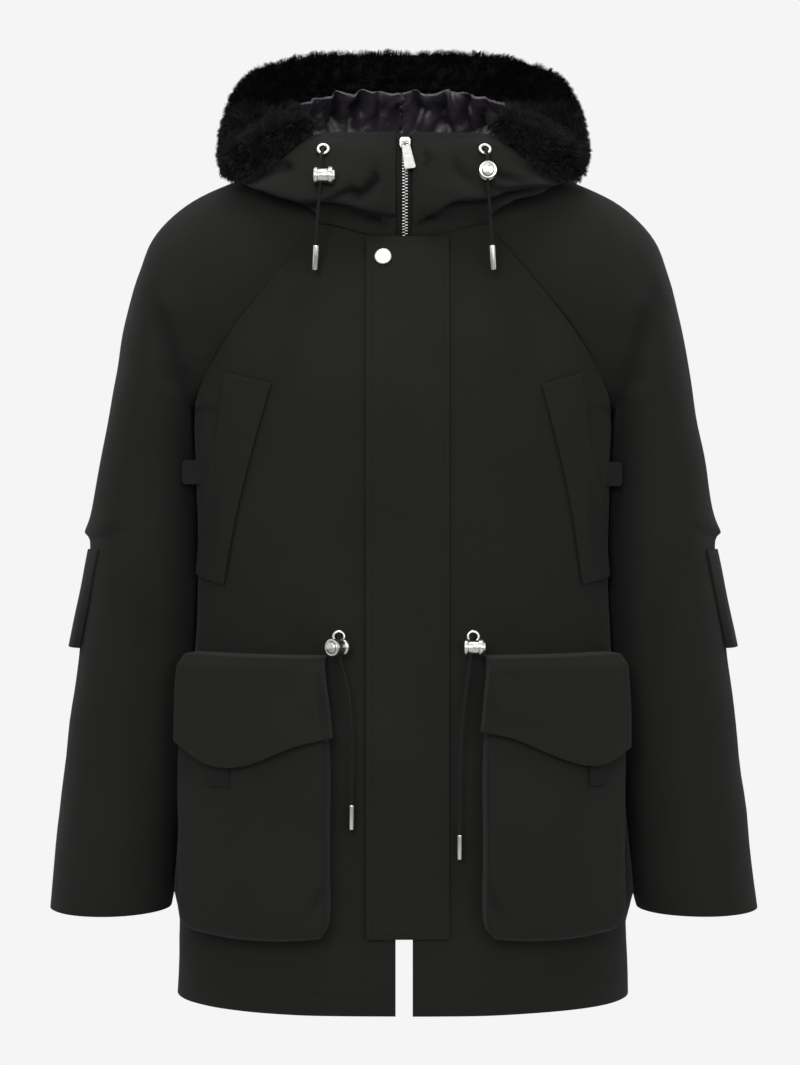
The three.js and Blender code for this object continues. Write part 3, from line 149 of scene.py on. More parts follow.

# Listed creases: what they shape, the side they show on, their line in x and z, depth and width in mm
CREASES = [
    ("sleeve", -1, [(-292, -84), (-268, -126), (-247, -188), (-233, -246), (-231, -300)], -5, 11),
    ("sleeve", -1, [(292, -88), (267, -132), (249, -188), (234, -252), (231, -304)], -5, 11),
    ("sleeve", -1, [(-268, -92), (-243, -140), (-228, -190)], 3, 9),
    ("sleeve", -1, [(268, -96), (243, -146), (229, -192)], 3, 9),
    ("sleeve", -1, [(-346, -392), (-322, -388), (-296, -380)], -2.2, 6),
    ("sleeve", -1, [(346, -388), (324, -385), (300, -376)], -2.2, 6),
    ("sleeve", -1, [(-290, -430), (-276, -480), (-270, -540)], -1.6, 14),
    ("sleeve", -1, [(288, -420), (276, -470), (268, -530)], -1.6, 14),
    ("sleeve", 1, [(-285, -95), (-262, -140), (-246, -190)], -4, 12),
    ("sleeve", 1, [(284, -99), (261, -146), (247, -194)], -4, 12),
    ("sleeve", 1, [(-262, -300), (-290, -340), (-312, -352)], -2, 12),
    ("sleeve", 1, [(258, -296), (286, -332), (310, -346)], -2, 12),
    ("body", -1, [(-125, -478), (-104, -494), (-84, -512)], -2.4, 7),
    ("body", -1, [(-150, -494), (-118, -503), (-92, -508)], 1.8, 7),
    ("body", -1, [(132, -480), (108, -495), (86, -508)], -2.2, 7),
    ("body", -1, [(160, -492), (124, -500), (96, -506)], 1.6, 7),
    ("body", -1, [(-98, -120), (-118, -180), (-128, -250)], -1.2, 16),
    ("body", -1, [(102, -126), (120, -190), (132, -262)], -1.2, 16),
    ("body", -1, [(-196, -330), (-206, -380), (-204, -440)], -2.2, 11),
    ("body", -1, [(198, -336), (206, -390), (203, -446)], -2.2, 11),
    ("body", 1, [(-120, -470), (-70, -486), (-20, -482)], -2.6, 10),
    ("body", 1, [(116, -478), (66, -494), (10, -492)], -2.2, 10),
    ("body", 1, [(-150, -250), (-120, -310), (-108, -390)], -2, 16),
    ("body", 1, [(146, -256), (122, -320), (112, -396)], -2, 16),
    ("body", 1, [(-40, -690), (-30, -760), (-34, -830)], -1.8, 14),
    ("hood", -1, [(-64, -28), (-54, -27), (-46, -32), (-39, -27), (-30, -17), (-30, -4)], -11, 5.5),
    ("hood", -1, [(-80, -6), (-62, -12), (-48, -14)], 4, 9),
    ("hood", -1, [(-44, -53), (-28, -57), (-15, -62)], -6, 4),
    ("hood", -1, [(-131, 8), (-123, -2), (-115, -10)], -6, 6),
    ("hood", -1, [(53, 12), (60, -6), (66, -14), (78, -22)], -5, 6),
    ("hood", -1, [(86, 10), (93, -3), (105, -13), (121, -16), (139, -13)], -8, 6),
    ("hood", -1, [(22, 18), (28, 6), (23, -6)], -4.5, 4.5),
    ("hood", -1, [(16, -61), (27, -54), (40, -53)], -6, 4),
    ("hood", -1, [(28, -22), (48, -24), (64, -27)], 2.4, 8),
    ("hood", 1, [(-118, 40), (-80, 12), (-30, 4)], -5, 12),
    ("hood", 1, [(112, 46), (70, 16), (24, 10)], -4.5, 12),
    ("hood", 1, [(-90, -20), (-50, -34), (-8, -38)], -4, 10),
    ("hood", 1, [(88, -14), (52, -30), (14, -36)], -4, 10),
    ("flap", -1, [(-99, -524), (-88, -517), (-78, -514)], -2.4, 4),
    ("flap", -1, [(-88, -546), (-80, -566), (-77, -582)], -2, 5),
    ("flap", -1, [(-104, -552), (-94, -572)], 1.4, 5),
    ("flap", -1, [(101, -525), (111, -531), (118, -534)], -2.2, 4),
    ("flap", -1, [(88, -548), (92, -566), (98, -580)], -1.8, 5),
    ("pocket", -1, [(-100, -778), (-90, -766), (-82, -750)], -3.4, 5),
    ("pocket", -1, [(-116, -788), (-104, -772), (-98, -752)], 1.6, 6),
    ("pocket", -1, [(106, -780), (96, -768), (88, -750)], -3.2, 5),
    ("pocket", -1, [(122, -790), (110, -774), (104, -756)], 1.6, 6),
    ("lining", 1, [(-96, 112), (-88, 96), (-84, 76)], 9, 5),
    ("lining", 1, [(-74, 128), (-80, 104), (-72, 80)], 11, 5.5),
    ("lining", 1, [(-44, 132), (-58, 112), (-62, 84)], 13, 6),
    ("lining", 1, [(-34, 128), (-30, 108), (-38, 90)], 8, 4),
    ("lining", 1, [(-12, 130), (-8, 112), (-20, 86)], 7, 5),
    ("lining", 1, [(14, 132), (22, 114), (18, 84)], 11, 6),
    ("lining", 1, [(34, 126), (46, 108), (36, 82)], 8, 4.5),
    ("lining", 1, [(52, 130), (50, 108), (64, 86)], 12, 5.5),
    ("lining", 1, [(78, 126), (74, 104), (86, 82)], 9, 5),
    ("lining", 1, [(100, 112), (94, 96), (98, 78)], 8, 5),
    ("lining", 1, [(-30, 118), (-14, 122), (6, 117)], -6, 6),
    ("lining", 1, [(24, 120), (36, 124), (48, 118)], -6, 6),
    ("lining", 1, [(-70, 116), (-60, 122), (-48, 118)], -6, 6),
]

# Overlapping folds: the cloth above the line hangs over the cloth below it. Line, step and reach in mm
FOLDS = [
    ("hood", -1, [(-168, -16), (-144, -26), (-125, -34), (-105, -39), (-86, -38), (-58, -42), (-47, -45),
                  (-31, -48), (-16, -50)], 10, 15),
    ("hood", -1, [(-84, -37), (-74, -34), (-62, -28), (-54, -26)], 4, 9),
    ("hood", -1, [(31, -50), (41, -44), (51, -39), (62, -37), (78, -37), (94, -34), (109, -28), (129, -24),
                  (150, -19)], 10, 15),
    ("hood", -1, [(88, -22), (104, -24), (119, -23), (138, -20)], 4, 9),
    ("hood", 1, [(-120, 4), (-60, -22), (0, -28), (58, -20), (118, 8)], 4, 22),
]

# Rows of stitches: the pieces under them, the side they are seen from, their line in x and z, in mm
STITCHES = [
    ("front", -1, [(-33, -79), (-33, -804)]),
    ("front", -1, [(42.5, -79), (42.5, -804)]),
    ("front", -1, [(-34, -79), (43, -79)]),
    ("front", -1, [(-34, -803), (43, -803)]),
    ("front", -1, [(-97, -70), (-136, -112), (-178, -162), (-210, -212)]),
    ("front", -1, [(97, -70), (136, -112), (178, -162), (210, -212)]),
    ("front", -1, [(-90, -74), (-129, -115), (-172, -166), (-203, -214)]),
    ("front", -1, [(90, -74), (129, -115), (172, -166), (203, -214)]),
    ("front", -1, [(-241, -866), (-14, -866)]),
    ("front", -1, [(16, -866), (241, -866)]),
    ("front", -1, [(-385, -780), (-270, -780)]),
    ("front", -1, [(270, -780), (385, -780)]),
    ("front", -1, [(-142, -235), (-189, -434)]),
    ("front", -1, [(148, -236), (189, -434)]),
    ("front", -1, [(-143, -233), (-183, -222)]),
    ("front", -1, [(149, -234), (184, -222)]),
    ("front", -1, [(-84, -800), (-236, -806)]),
    ("front", -1, [(91, -800), (236, -806)]),
    ("front", -1, [(-82, -620), (-82, -790)]),
    ("front", -1, [(88, -620), (88, -790)]),
    ("back", 1, [(-82, -10), (-120, -62), (-160, -122), (-198, -190), (-212, -226)]),
    ("back", 1, [(82, -10), (120, -62), (160, -122), (198, -190), (212, -226)]),
    ("back", 1, [(-75, -14), (-113, -66), (-153, -126), (-190, -192)]),
    ("back", 1, [(75, -14), (113, -66), (153, -126), (190, -192)]),
    ("back", 1, [(-236, -866), (-34, -866)]),
    ("back", 1, [(34, -866), (236, -866)]),
    ("back", 1, [(-385, -780), (-270, -780)]),
    ("back", 1, [(270, -780), (385, -780)]),
    ("back", 1, [(-4, -74), (-4, 60)]),
    ("back", 1, [(4, -74), (4, 60)]),
    ("front", -1, [(-12, 35), (-80, 35)]),
    ("front", -1, [(14, 35), (80, 35)]),
]


class ParkaCloth(bpy.types.PropertyGroup):
    crease: FloatProperty(name="Crease depth", description="How deep the hand-placed creases are, as a share",
                          default=1.0, subtype="FACTOR")
    softness: FloatProperty(name="Softness", description="Height of the soft waves over the cloth",
                            default=0.0011, unit="LENGTH")
    edge: FloatProperty(name="Edge roll", description="Width of the rolled edge at seams and hems",
                        default=0.0008, unit="LENGTH")
    stitch: FloatProperty(name="Stitch length", description="Distance from one stitch to the next",
                          default=0.0042, unit="LENGTH")


class ParkaFur(bpy.types.PropertyGroup):
    strands: IntProperty(name="Strands", description="Number of strands in each of the three fur pieces",
                         default=42000)
    length: FloatProperty(name="Pile length", description="Length of the longest strands", default=0.0095,
                          unit="LENGTH")
    tufts: IntProperty(name="Tufts", description="Number of tufts that the strands gather to", default=3600)
    core: FloatProperty(name="Core depth", description="How far the backing lies under the pile's surface",
                        default=0.006, unit="LENGTH")


class ParkaStage(bpy.types.PropertyGroup):
    distance: FloatProperty(name="Camera distance", description="From the camera to the coat's middle plane",
                            default=2.4, unit="LENGTH")
    height: FloatProperty(name="Camera height", description="Height of the camera beside the coat",
                          default=-0.385, unit="LENGTH")
    lens: FloatProperty(name="Lens", description="Focal length of the camera", default=73.01, unit="CAMERA")
    floor: FloatProperty(name="Floor height", description="Height of the studio floor", default=-1.5,
                         unit="LENGTH")


class ParkaColours(bpy.types.PropertyGroup):
    shell: FloatVectorProperty(name="Shell", description="Matte woven cloth of the coat", subtype="COLOR",
                               default=(0.0128, 0.0127, 0.0115))
    lining: FloatVectorProperty(name="Lining", description="Shiny nylon inside the hood", subtype="COLOR",
                                default=(0.056, 0.046, 0.060))
    webbing: FloatVectorProperty(name="Webbing", description="Tabs and zip tapes", subtype="COLOR",
                                 default=(0.0095, 0.0095, 0.009))
    cord: FloatVectorProperty(name="Cord", description="Braided drawcords", subtype="COLOR",
                              default=(0.011, 0.0108, 0.0105))
    thread: FloatVectorProperty(name="Thread", description="Topstitching", subtype="COLOR",
                                default=(0.0045, 0.0045, 0.0042))
    metal: FloatVectorProperty(name="Metal", description="Eyelets, locks, cord ends and zip", subtype="COLOR",
                               default=(0.78, 0.77, 0.745))
    pull: FloatVectorProperty(name="Zip pull", description="Matte metal of the zip pull", subtype="COLOR",
                              default=(0.36, 0.355, 0.34))
    snap: FloatVectorProperty(name="Snap", description="Brushed metal of the press stud", subtype="COLOR",
                              default=(0.95, 0.945, 0.93))
    fur: FloatVectorProperty(name="Fur", description="Short pile of the hood's edge", subtype="COLOR",
                             default=(0.0100, 0.0092, 0.0090))


# Node groups shared by the materials
def effect(name, inputs, outputs):
    group = bpy.data.node_groups.new(name, "ShaderNodeTree")
    for label, kind, value in inputs:
        item = group.interface.new_socket(name=label, in_out="INPUT", socket_type=kind)
        item.default_value = value
    for label, kind in outputs:
        group.interface.new_socket(name=label, in_out="OUTPUT", socket_type=kind)
    return group, group.nodes.new("NodeGroupInput"), group.nodes.new("NodeGroupOutput")


def wire(tree, kind, links, **settings):
    node = tree.nodes.new(kind)
    for key, value in settings.items():
        setattr(node, key, value)
    for key, source in links.items():
        if isinstance(source, bpy.types.NodeSocket):
            tree.links.new(source, node.inputs[key])
        else:
            node.inputs[key].default_value = source
    return node


def weave_effect():
    """Fine plain weave: a height, and a tone that lightens the threads' crowns."""
    tree, given, made = effect("weave", [("Threads per metre", "NodeSocketFloat", 1500.0)],
                               [("Height", "NodeSocketFloat"), ("Tone", "NodeSocketFloat")])
    place = tree.nodes.new("ShaderNodeTexCoord").outputs["Object"]
    split = wire(tree, "ShaderNodeSeparateXYZ", {0: place})
    around = wire(tree, "ShaderNodeMath", {0: split.outputs["X"], 1: split.outputs["Y"]}, operation="ADD")
    waves = []
    for source in (around.outputs[0], split.outputs["Z"]):
        turn = wire(tree, "ShaderNodeMath", {0: source, 1: given.outputs[0]}, operation="MULTIPLY")
        turn = wire(tree, "ShaderNodeMath", {0: turn.outputs[0], 1: 3.14159}, operation="MULTIPLY")
        waves.append(wire(tree, "ShaderNodeMath", {0: turn.outputs[0]}, operation="SINE").outputs[0])
    weave = wire(tree, "ShaderNodeMath", {0: waves[0], 1: waves[1]}, operation="MULTIPLY")
    grain = wire(tree, "ShaderNodeTexNoise", {"Vector": place, "Scale": 900.0, "Detail": 3.0})
    height = wire(tree, "ShaderNodeMath", {0: weave.outputs[0], 1: grain.outputs["Fac"]}, operation="ADD")
    tone = wire(tree, "ShaderNodeMapRange", {"Value": height.outputs[0], 1: -0.6, 2: 1.6, 3: 0.86, 4: 1.12})
    tree.links.new(height.outputs[0], made.inputs["Height"])
    tree.links.new(tone.outputs[0], made.inputs["Tone"])
    return tree


def rumple_effect():
    """Small soft wrinkles in cloth that has been handled, and slow changes of shade over it."""
    tree, given, made = effect("rumple", [("Scale", "NodeSocketFloat", 26.0)],
                               [("Height", "NodeSocketFloat"), ("Shade", "NodeSocketFloat")])
    place = tree.nodes.new("ShaderNodeTexCoord").outputs["Object"]
    bent = wire(tree, "ShaderNodeTexNoise", {"Vector": place, "Scale": 9.0, "Detail": 2.0})
    shift = wire(tree, "ShaderNodeVectorMath", {0: bent.outputs["Color"], 1: (0.12, 0.12, 0.12)},
                 operation="MULTIPLY")
    moved = wire(tree, "ShaderNodeVectorMath", {0: place, 1: shift.outputs[0]}, operation="ADD")
    fine = wire(tree, "ShaderNodeTexNoise", {"Vector": moved.outputs[0], "Scale": given.outputs[0],
                                            "Detail": 5.0, "Roughness": 0.55})
    slow = wire(tree, "ShaderNodeTexNoise", {"Vector": moved.outputs[0], "Scale": 7.0, "Detail": 3.0})
    shade = wire(tree, "ShaderNodeMapRange", {"Value": slow.outputs["Fac"], 1: 0.3, 2: 0.7, 3: 0.9, 4: 1.1})
    tree.links.new(fine.outputs["Fac"], made.inputs["Height"])
    tree.links.new(shade.outputs[0], made.inputs["Shade"])
    return tree


def scratch_effect():
    """Polishing marks: fine stretched noise."""
    tree, given, made = effect("polish", [("Scale", "NodeSocketFloat", 900.0)], [("Mark", "NodeSocketFloat")])
    place = tree.nodes.new("ShaderNodeTexCoord").outputs["Object"]
    scaled = wire(tree, "ShaderNodeVectorMath", {0: place, 1: (1.0, 0.2, 0.35)}, operation="MULTIPLY")
    noise = wire(tree, "ShaderNodeTexNoise", {"Vector": scaled.outputs[0], "Scale": given.outputs[0],
                                             "Detail": 4.0})
    tree.links.new(noise.outputs["Fac"], made.inputs["Mark"])
    return tree


def use(tree, group, **values):
    node = tree.nodes.new("ShaderNodeGroup")
    node.node_tree = bpy.data.node_groups[group]
    for key, value in values.items():
        node.inputs[key].default_value = value
    return node


def new_material(name):
    material = bpy.data.materials.new(name)
    material.use_nodes = True
    return material, material.node_tree, material.node_tree.nodes["Principled BSDF"]


def tinted(tree, colour, masks):
    """The colour times each of the masks."""
    out = None
    for mask in masks:
        mix = tree.nodes.new("ShaderNodeVectorMath")
        mix.operation = "SCALE"
        if out is None:
            mix.inputs[0].default_value = colour
        else:
            tree.links.new(out, mix.inputs[0])
        tree.links.new(mask, mix.inputs["Scale"])
        out = mix.outputs[0]
    return out


def relief(tree, layers):
    """Bumps laid on each other: each a height socket, a strength and a distance."""
    normal = None
    for height, strength, distance in layers:
        bump = wire(tree, "ShaderNodeBump", {"Height": height, "Strength": strength, "Distance": distance})
        if normal is not None:
            tree.links.new(normal, bump.inputs["Normal"])
        normal = bump.outputs["Normal"]
    return normal


def cloth_material(name, colour, roughness, threads=1500.0, rumple=26.0, depth=0.0016, sheen=0.05, coat=0.0,
                   gloss=0.2):
    material, tree, shader = new_material(name)
    weave = use(tree, "weave", **{"Threads per metre": threads})
    folds = use(tree, "rumple", Scale=rumple)
    # Painted shade: the 'shade' attribute darkens the base colour down to 0.18 under overhanging folds, in
    # dents and on the sleeves beside the body.
    painted_shade_attribute = wire(tree, "ShaderNodeAttribute", {}, attribute_name="shade")
    painted_shade_factor = wire(tree, "ShaderNodeMapRange", {"Value": painted_shade_attribute.outputs["Fac"], 3: 1.0, 4: 0.18})
    masks = [weave.outputs["Tone"], folds.outputs["Shade"], painted_shade_factor.outputs[0]]
    tree.links.new(tinted(tree, colour, masks), shader.inputs["Base Color"])
    rough = wire(tree, "ShaderNodeMath", {0: folds.outputs["Shade"], 1: roughness}, operation="MULTIPLY")
    tree.links.new(rough.outputs[0], shader.inputs["Roughness"])
    layers = [(folds.outputs["Height"], 0.55, depth), (weave.outputs["Height"], 0.3, 0.0002)]
    tree.links.new(relief(tree, layers), shader.inputs["Normal"])
    shader.inputs["Sheen Weight"].default_value = sheen
    shader.inputs["Sheen Roughness"].default_value = 0.5
    shader.inputs["Coat Weight"].default_value = coat
    shader.inputs["Specular IOR Level"].default_value = gloss
    return material


def metal_material(name, colour, roughness):
    material, tree, shader = new_material(name)
    marks = use(tree, "polish")
    rough = wire(tree, "ShaderNodeMapRange", {"Value": marks.outputs["Mark"], 1: 0.3, 2: 0.75,
                                              3: roughness * 0.7, 4: roughness * 1.5})
    tree.links.new(rough.outputs[0], shader.inputs["Roughness"])
    tree.links.new(relief(tree, [(marks.outputs["Mark"], 0.12, 0.0001)]), shader.inputs["Normal"])
    shade = wire(tree, "ShaderNodeMapRange", {"Value": marks.outputs["Mark"], 1: 0.2, 2: 0.8, 3: 0.94,
                                              4: 1.04})
    tree.links.new(tinted(tree, colour, [shade.outputs[0]]), shader.inputs["Base Color"])
    shader.inputs["Metallic"].default_value = 1.0
    return material


def fur_material(colour):
    """Pile: darker at the roots than at the tips, each strand a little different, with painted light and
    shade in its tone.
    """
    material, tree, shader = new_material("fur_pile")
    along = wire(tree, "ShaderNodeAttribute", {}, attribute_name="tip")
    shade = wire(tree, "ShaderNodeMapRange", {"Value": along.outputs["Fac"], 1: 0.0, 2: 1.0, 3: 0.25, 4: 1.5})
    # The 'tone' attribute holds each strand's random tone with painted light on the front lobes and painted
    # shade inside the hood.
    tone = wire(tree, "ShaderNodeAttribute", {}, attribute_name="tone")
    tree.links.new(tinted(tree, colour, [shade.outputs[0], tone.outputs["Fac"]]),
                   shader.inputs["Base Color"])
    shader.inputs["Roughness"].default_value = 0.6
    shader.inputs["Specular IOR Level"].default_value = 0.07
    shader.inputs["Sheen Weight"].default_value = 0.02
    return material


MATERIALS = {}


# Meshes
def finish_piece(obj, material, body="coat", replaces=()):
    if obj.type == "MESH" and not obj.data.polygons:
        raise RuntimeError(f"{obj.name} came out without faces")
    obj.data.materials.clear()
    obj.data.materials.append(MATERIALS[material])
    if obj.type == "MESH":
        obj.data.shade_smooth()
    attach(obj, body)
    if replaces:
        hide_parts(*replaces)
    return obj


def object_from(name, bm):
    data = bpy.data.meshes.new(name)
    bm.to_mesh(data)
    bm.free()
    obj = bpy.data.objects.new(name, data)
    bpy.context.scene.collection.objects.link(obj)
    return obj


def apply_modifiers(obj):
    graph = bpy.context.evaluated_depsgraph_get()
    made = bpy.data.meshes.new_from_object(obj.evaluated_get(graph))
    obj.modifiers.clear()
    old = obj.data
    obj.data = made
    bpy.data.meshes.remove(old)
    return obj


def points_of(obj):
    flat = np.empty(len(obj.data.vertices) * 3)
    obj.data.vertices.foreach_get("co", flat)
    return flat.reshape(-1, 3)


def set_points(obj, points):
    obj.data.vertices.foreach_set("co", points.ravel())
    obj.data.update()


def set_values(data, name, values):
    """Stores a number for each point of a mesh, for its material to read."""
    data.attributes.new(name, "FLOAT", "POINT").data.foreach_set("value", values)


def waves(points, length, seed):
    """Smooth noise between about -1 and 1: sines in directions set by the seed."""
    chance = np.random.default_rng(seed)
    total = np.zeros(len(points))
    for _ in range(6):
        way = chance.normal(size=3)
        way /= np.linalg.norm(way)
        size = length * chance.uniform(0.7, 1.5)
        total += np.sin(points @ way * (2 * math.pi / size) + chance.uniform(0, 6.28))
    return total / 3.2


# Middle line of a sleeve: height, and distance from the coat's middle
SLEEVE_LINE = np.array([(-0.80, 0.325), (-0.65, 0.310), (-0.512, 0.296), (-0.40, 0.287), (-0.262, 0.272),
                        (-0.12, 0.235), (0.0, 0.17)])


def outward(kind, points):
    """The way out from the middle line of a sleeve, the body or the hood."""
    way = points.copy()
    if kind == "sleeve":
        middle = np.interp(points[:, 2], SLEEVE_LINE[:, 0], SLEEVE_LINE[:, 1])
        way[:, 0] -= np.sign(points[:, 0]) * middle
        way[:, 2] = 0
    elif kind in ("hood", "lining"):
        way -= np.array((0.0, 0.06, 0.02))
    elif kind == "body":
        way[:, 0] *= 0.35
        way[:, 2] = 0
    else:
        way[:, 0] *= 0.15
        way[:, 2] = 0
    return way / np.maximum(np.linalg.norm(way, axis=1), 1e-6)[:, None]


def facing_side(kind, side, points):
    """1 on the front (-1) or back (1) of a piece, and 0 on the other side of its middle."""
    middle = 0.06 if kind in ("hood", "lining") else 0
    return 1 / (1 + np.exp(-side * (points[:, 1] - middle) / 0.012))


def crease_heights(kind, points):
    """Heights of the listed troughs and ridges of one kind of piece."""
    total = np.zeros(len(points))
    for target, side, line, depth, width in CREASES:
        if target != kind:
            continue
        path = np.array(line) * MM
        where = points[:, (0, 2)]
        nearest = np.full(len(points), 1e3)
        along = np.zeros(len(points))
        lengths = np.linalg.norm(np.diff(path, axis=0), axis=1)
        done = 0.0
        for a, b, size in zip(path[:-1], path[1:], lengths):
            t = np.clip(((where - a) @ (b - a)) / size ** 2, 0, 1)
            away = np.linalg.norm(where - a - t[:, None] * (b - a), axis=1)
            closer = away < nearest
            nearest[closer] = away[closer]
            along[closer] = (done + t[closer] * size) / lengths.sum()
            done += size
        ends = np.sin(np.clip(along, 0.02, 0.98) * math.pi) ** 0.6
        facing = facing_side(kind, side, points)
        total += depth * MM * np.exp(-((nearest / (width * MM)) ** 2)) * ends * facing
    return total


def fold_heights(kind, points):
    """Heights of the overlapping folds, and the painted shade under each."""
    total = np.zeros(len(points))
    shade = np.zeros(len(points))
    where = points[:, (0, 2)]
    for target, side, line, step, reach in FOLDS:
        if target != kind:
            continue
        path = np.array(line) * MM
        nearest = np.full(len(points), 1e3)
        above = np.zeros(len(points))
        ends = np.zeros(len(points))
        for i, (a, b) in enumerate(zip(path[:-1], path[1:])):
            way = b - a
            t = np.clip(((where - a) @ way) / (way @ way), 0, 1)
            offset = where - a - t[:, None] * way
            away = np.linalg.norm(offset, axis=1)
            closer = away < nearest
            nearest[closer] = away[closer]
            above[closer] = np.sign(way[0] * offset[closer, 1] - way[1] * offset[closer, 0])
            ends[closer] = (i + t[closer]) / (len(path) - 1)
        taper = np.sin(np.clip(ends, 0.03, 0.97) * math.pi) ** 0.4
        facing = facing_side(kind, side, points)
        shape = np.tanh(above * nearest / 0.0015) * np.exp(-((nearest / (reach * MM)) ** 2))
        total += step * MM * shape * taper * facing
        # Painted shade: darkest along each fold line, reaching about 6 mm under the fold and 1.6 mm over it.
        under = np.where(above < 0, nearest / 0.006, nearest / 0.0016)
        shade += 1.25 * np.exp(-under ** 2) * taper * facing * min(step / 7, 1)
    return total, shade


def settle(obj, kind, softness):
    """Moves a piece's points out and in by the soft waves of the cloth and the listed creases."""
    look = bpy.context.scene.parka_cloth
    points = points_of(obj)
    height = look.softness * softness * waves(points, LONG_WAVE, 4)
    height += look.softness * 0.4 * softness * waves(points, SHORT_WAVE, 9)
    folds, shade = fold_heights(kind, points)
    dents = crease_heights(kind, points)
    height += look.crease * (dents + folds)
    inwards = dents if kind == "lining" else -dents
    # Painted shade: the folds' shade, plus darkening in dents that grows with their depth, stored as 'shade'
    # for the material.
    shade = np.clip(shade + np.clip(inwards / PAINTED_SHADE_DENT, 0, 1) * 0.85, 0, 1)
    set_values(obj.data, "shade", shade)
    for base, _ in EYELETS.values():
        height *= 1 - np.exp(-(np.linalg.norm(points - np.array(base) * MM, axis=1) / EYELET_CALM) ** 2)
    way = "body" if kind in ("flap", "pocket") else kind
    set_points(obj, points + outward(way, points) * height[:, None])


def merged(node):
    """A copy of a CAD node's mesh with its points merged and its triangles joined to four-sided faces."""
    bm = bmesh.new()
    bm.from_mesh(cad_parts[node].data)
    bmesh.ops.remove_doubles(bm, verts=bm.verts, dist=2e-5)
    bmesh.ops.recalc_face_normals(bm, faces=bm.faces)
    bmesh.ops.join_triangles(bm, faces=bm.faces, angle_face_threshold=0.8, angle_shape_threshold=3.1)
    return bm


def fit_smooth(obj, levels):
    """A smooth surface through the points of the piece, which stay where they are."""
    smooth = obj.modifiers.new("smooth", "SUBSURF")
    smooth.levels = smooth.render_levels = 1
    aim = points_of(obj)
    cage = aim.copy()
    for _ in range(3):
        shown = obj.evaluated_get(bpy.context.evaluated_depsgraph_get())
        flat = np.empty(len(shown.data.vertices) * 3)
        shown.data.vertices.foreach_get("co", flat)
        cage += (aim - flat.reshape(-1, 3)[:len(aim)]) * 0.9
        set_points(obj, cage)
    smooth.levels = smooth.render_levels = levels
    return apply_modifiers(obj)


def cloth_piece(node, kind, levels, material="shell", softness=1.0, angle=60, body="coat"):
    """A cloth piece on its CAD solid's form, with rolled edges and the cloth's creases."""
    look = bpy.context.scene.parka_cloth
    bm = merged(node)
    crease = bm.edges.layers.float.new("crease_edge")
    for edge in bm.edges:
        turn = math.degrees(edge.calc_face_angle(0))
        edge[crease] = 1.0 if turn > angle else 0.55 if turn > angle - 22 else 0.0
    obj = object_from(node + "_cloth", bm)
    fit_smooth(obj, levels)
    rounded(obj, look.edge, 2)
    settle(obj, kind, softness)
    return finish_piece(obj, material, body, (node,))


def lathe(name, profile, base, way, steps=48):
    """A turned piece: profile of radius and height in mm, standing on a base point along a direction."""
    bm = bmesh.new()
    verts = [bm.verts.new((r * MM, 0, h * MM)) for r, h in profile]
    edges = [bm.edges.new(pair) for pair in zip(verts[:-1], verts[1:])]
    bmesh.ops.spin(bm, geom=verts + edges, cent=(0, 0, 0), axis=(0, 0, 1), angle=2 * math.pi, steps=steps,
                   use_merge=True)
    bmesh.ops.remove_doubles(bm, verts=bm.verts, dist=1e-6)
    bmesh.ops.recalc_face_normals(bm, faces=bm.faces)
    turn = Vector((0, 0, 1)).rotation_difference(Vector(way).normalized()).to_matrix().to_4x4()
    bmesh.ops.transform(bm, matrix=Matrix.Translation(Vector(base) * MM) @ turn, verts=bm.verts)
    return object_from(name, bm)


def rounded(obj, width, segments=3, angle=40):
    """Applies a bevel to the sharp edges of a piece."""
    bevel = obj.modifiers.new("edges", "BEVEL")
    bevel.width = width
    bevel.segments = segments
    bevel.limit_method = "ANGLE"
    bevel.angle_limit = math.radians(angle)
    bevel.profile = 0.5
    return apply_modifiers(obj)


def between(start, end, low, high, at):
    """The point at a knot value between two points that stand at a low and a high knot."""
    return start * ((high - at) / (high - low)) + end * ((at - low) / (high - low))


def smooth_route(points, step=0.002):
    """Points about a step apart on the centripetal curve through the given points."""
    given = [Vector(p) * MM for p in points]
    ends = [given[0] * 2 - given[1], *given, given[-1] * 2 - given[-2]]
    out = []
    for a, b, c, d in zip(ends[:-3], ends[1:-2], ends[2:-1], ends[3:]):
        knots = [0.0]
        for p, q in ((a, b), (b, c), (c, d)):
            knots.append(knots[-1] + max((q - p).length, 1e-6) ** 0.5)
        count = max(2, int((c - b).length / step))
        for i in range(count):
            t = knots[1] + (knots[2] - knots[1]) * i / count
            ab = between(a, b, knots[0], knots[1], t)
            bc = between(b, c, knots[1], knots[2], t)
            cd = between(c, d, knots[2], knots[3], t)
            first = between(ab, bc, knots[0], knots[2], t)
            out.append(between(first, between(bc, cd, knots[1], knots[3], t), knots[1], knots[2], t))
    out.append(given[-1])
    return out


def hits(objects):
    """A tree of the shown surfaces of some pieces, to lay stitches on."""
    verts, faces = [], []
    for obj in objects:
        start = len(verts)
        verts += [v.co.copy() for v in obj.data.vertices]
        faces += [[start + i for i in p.vertices] for p in obj.data.polygons]
    return BVHTree.FromPolygons(verts, faces)


def lean(points, key):
    """Turns the cloth round a hood eyelet forwards with the eyelet, less with the distance."""
    base = np.array(EYELETS[key][0]) * MM
    angle = math.radians(17) * np.exp(-(np.linalg.norm(points - base, axis=1) / 0.014) ** 2)
    at = points - base
    turned = at.copy()
    turned[:, 1] = at[:, 1] * np.cos(angle) - at[:, 2] * np.sin(angle)
    turned[:, 2] = at[:, 1] * np.sin(angle) + at[:, 2] * np.cos(angle)
    return base + turned


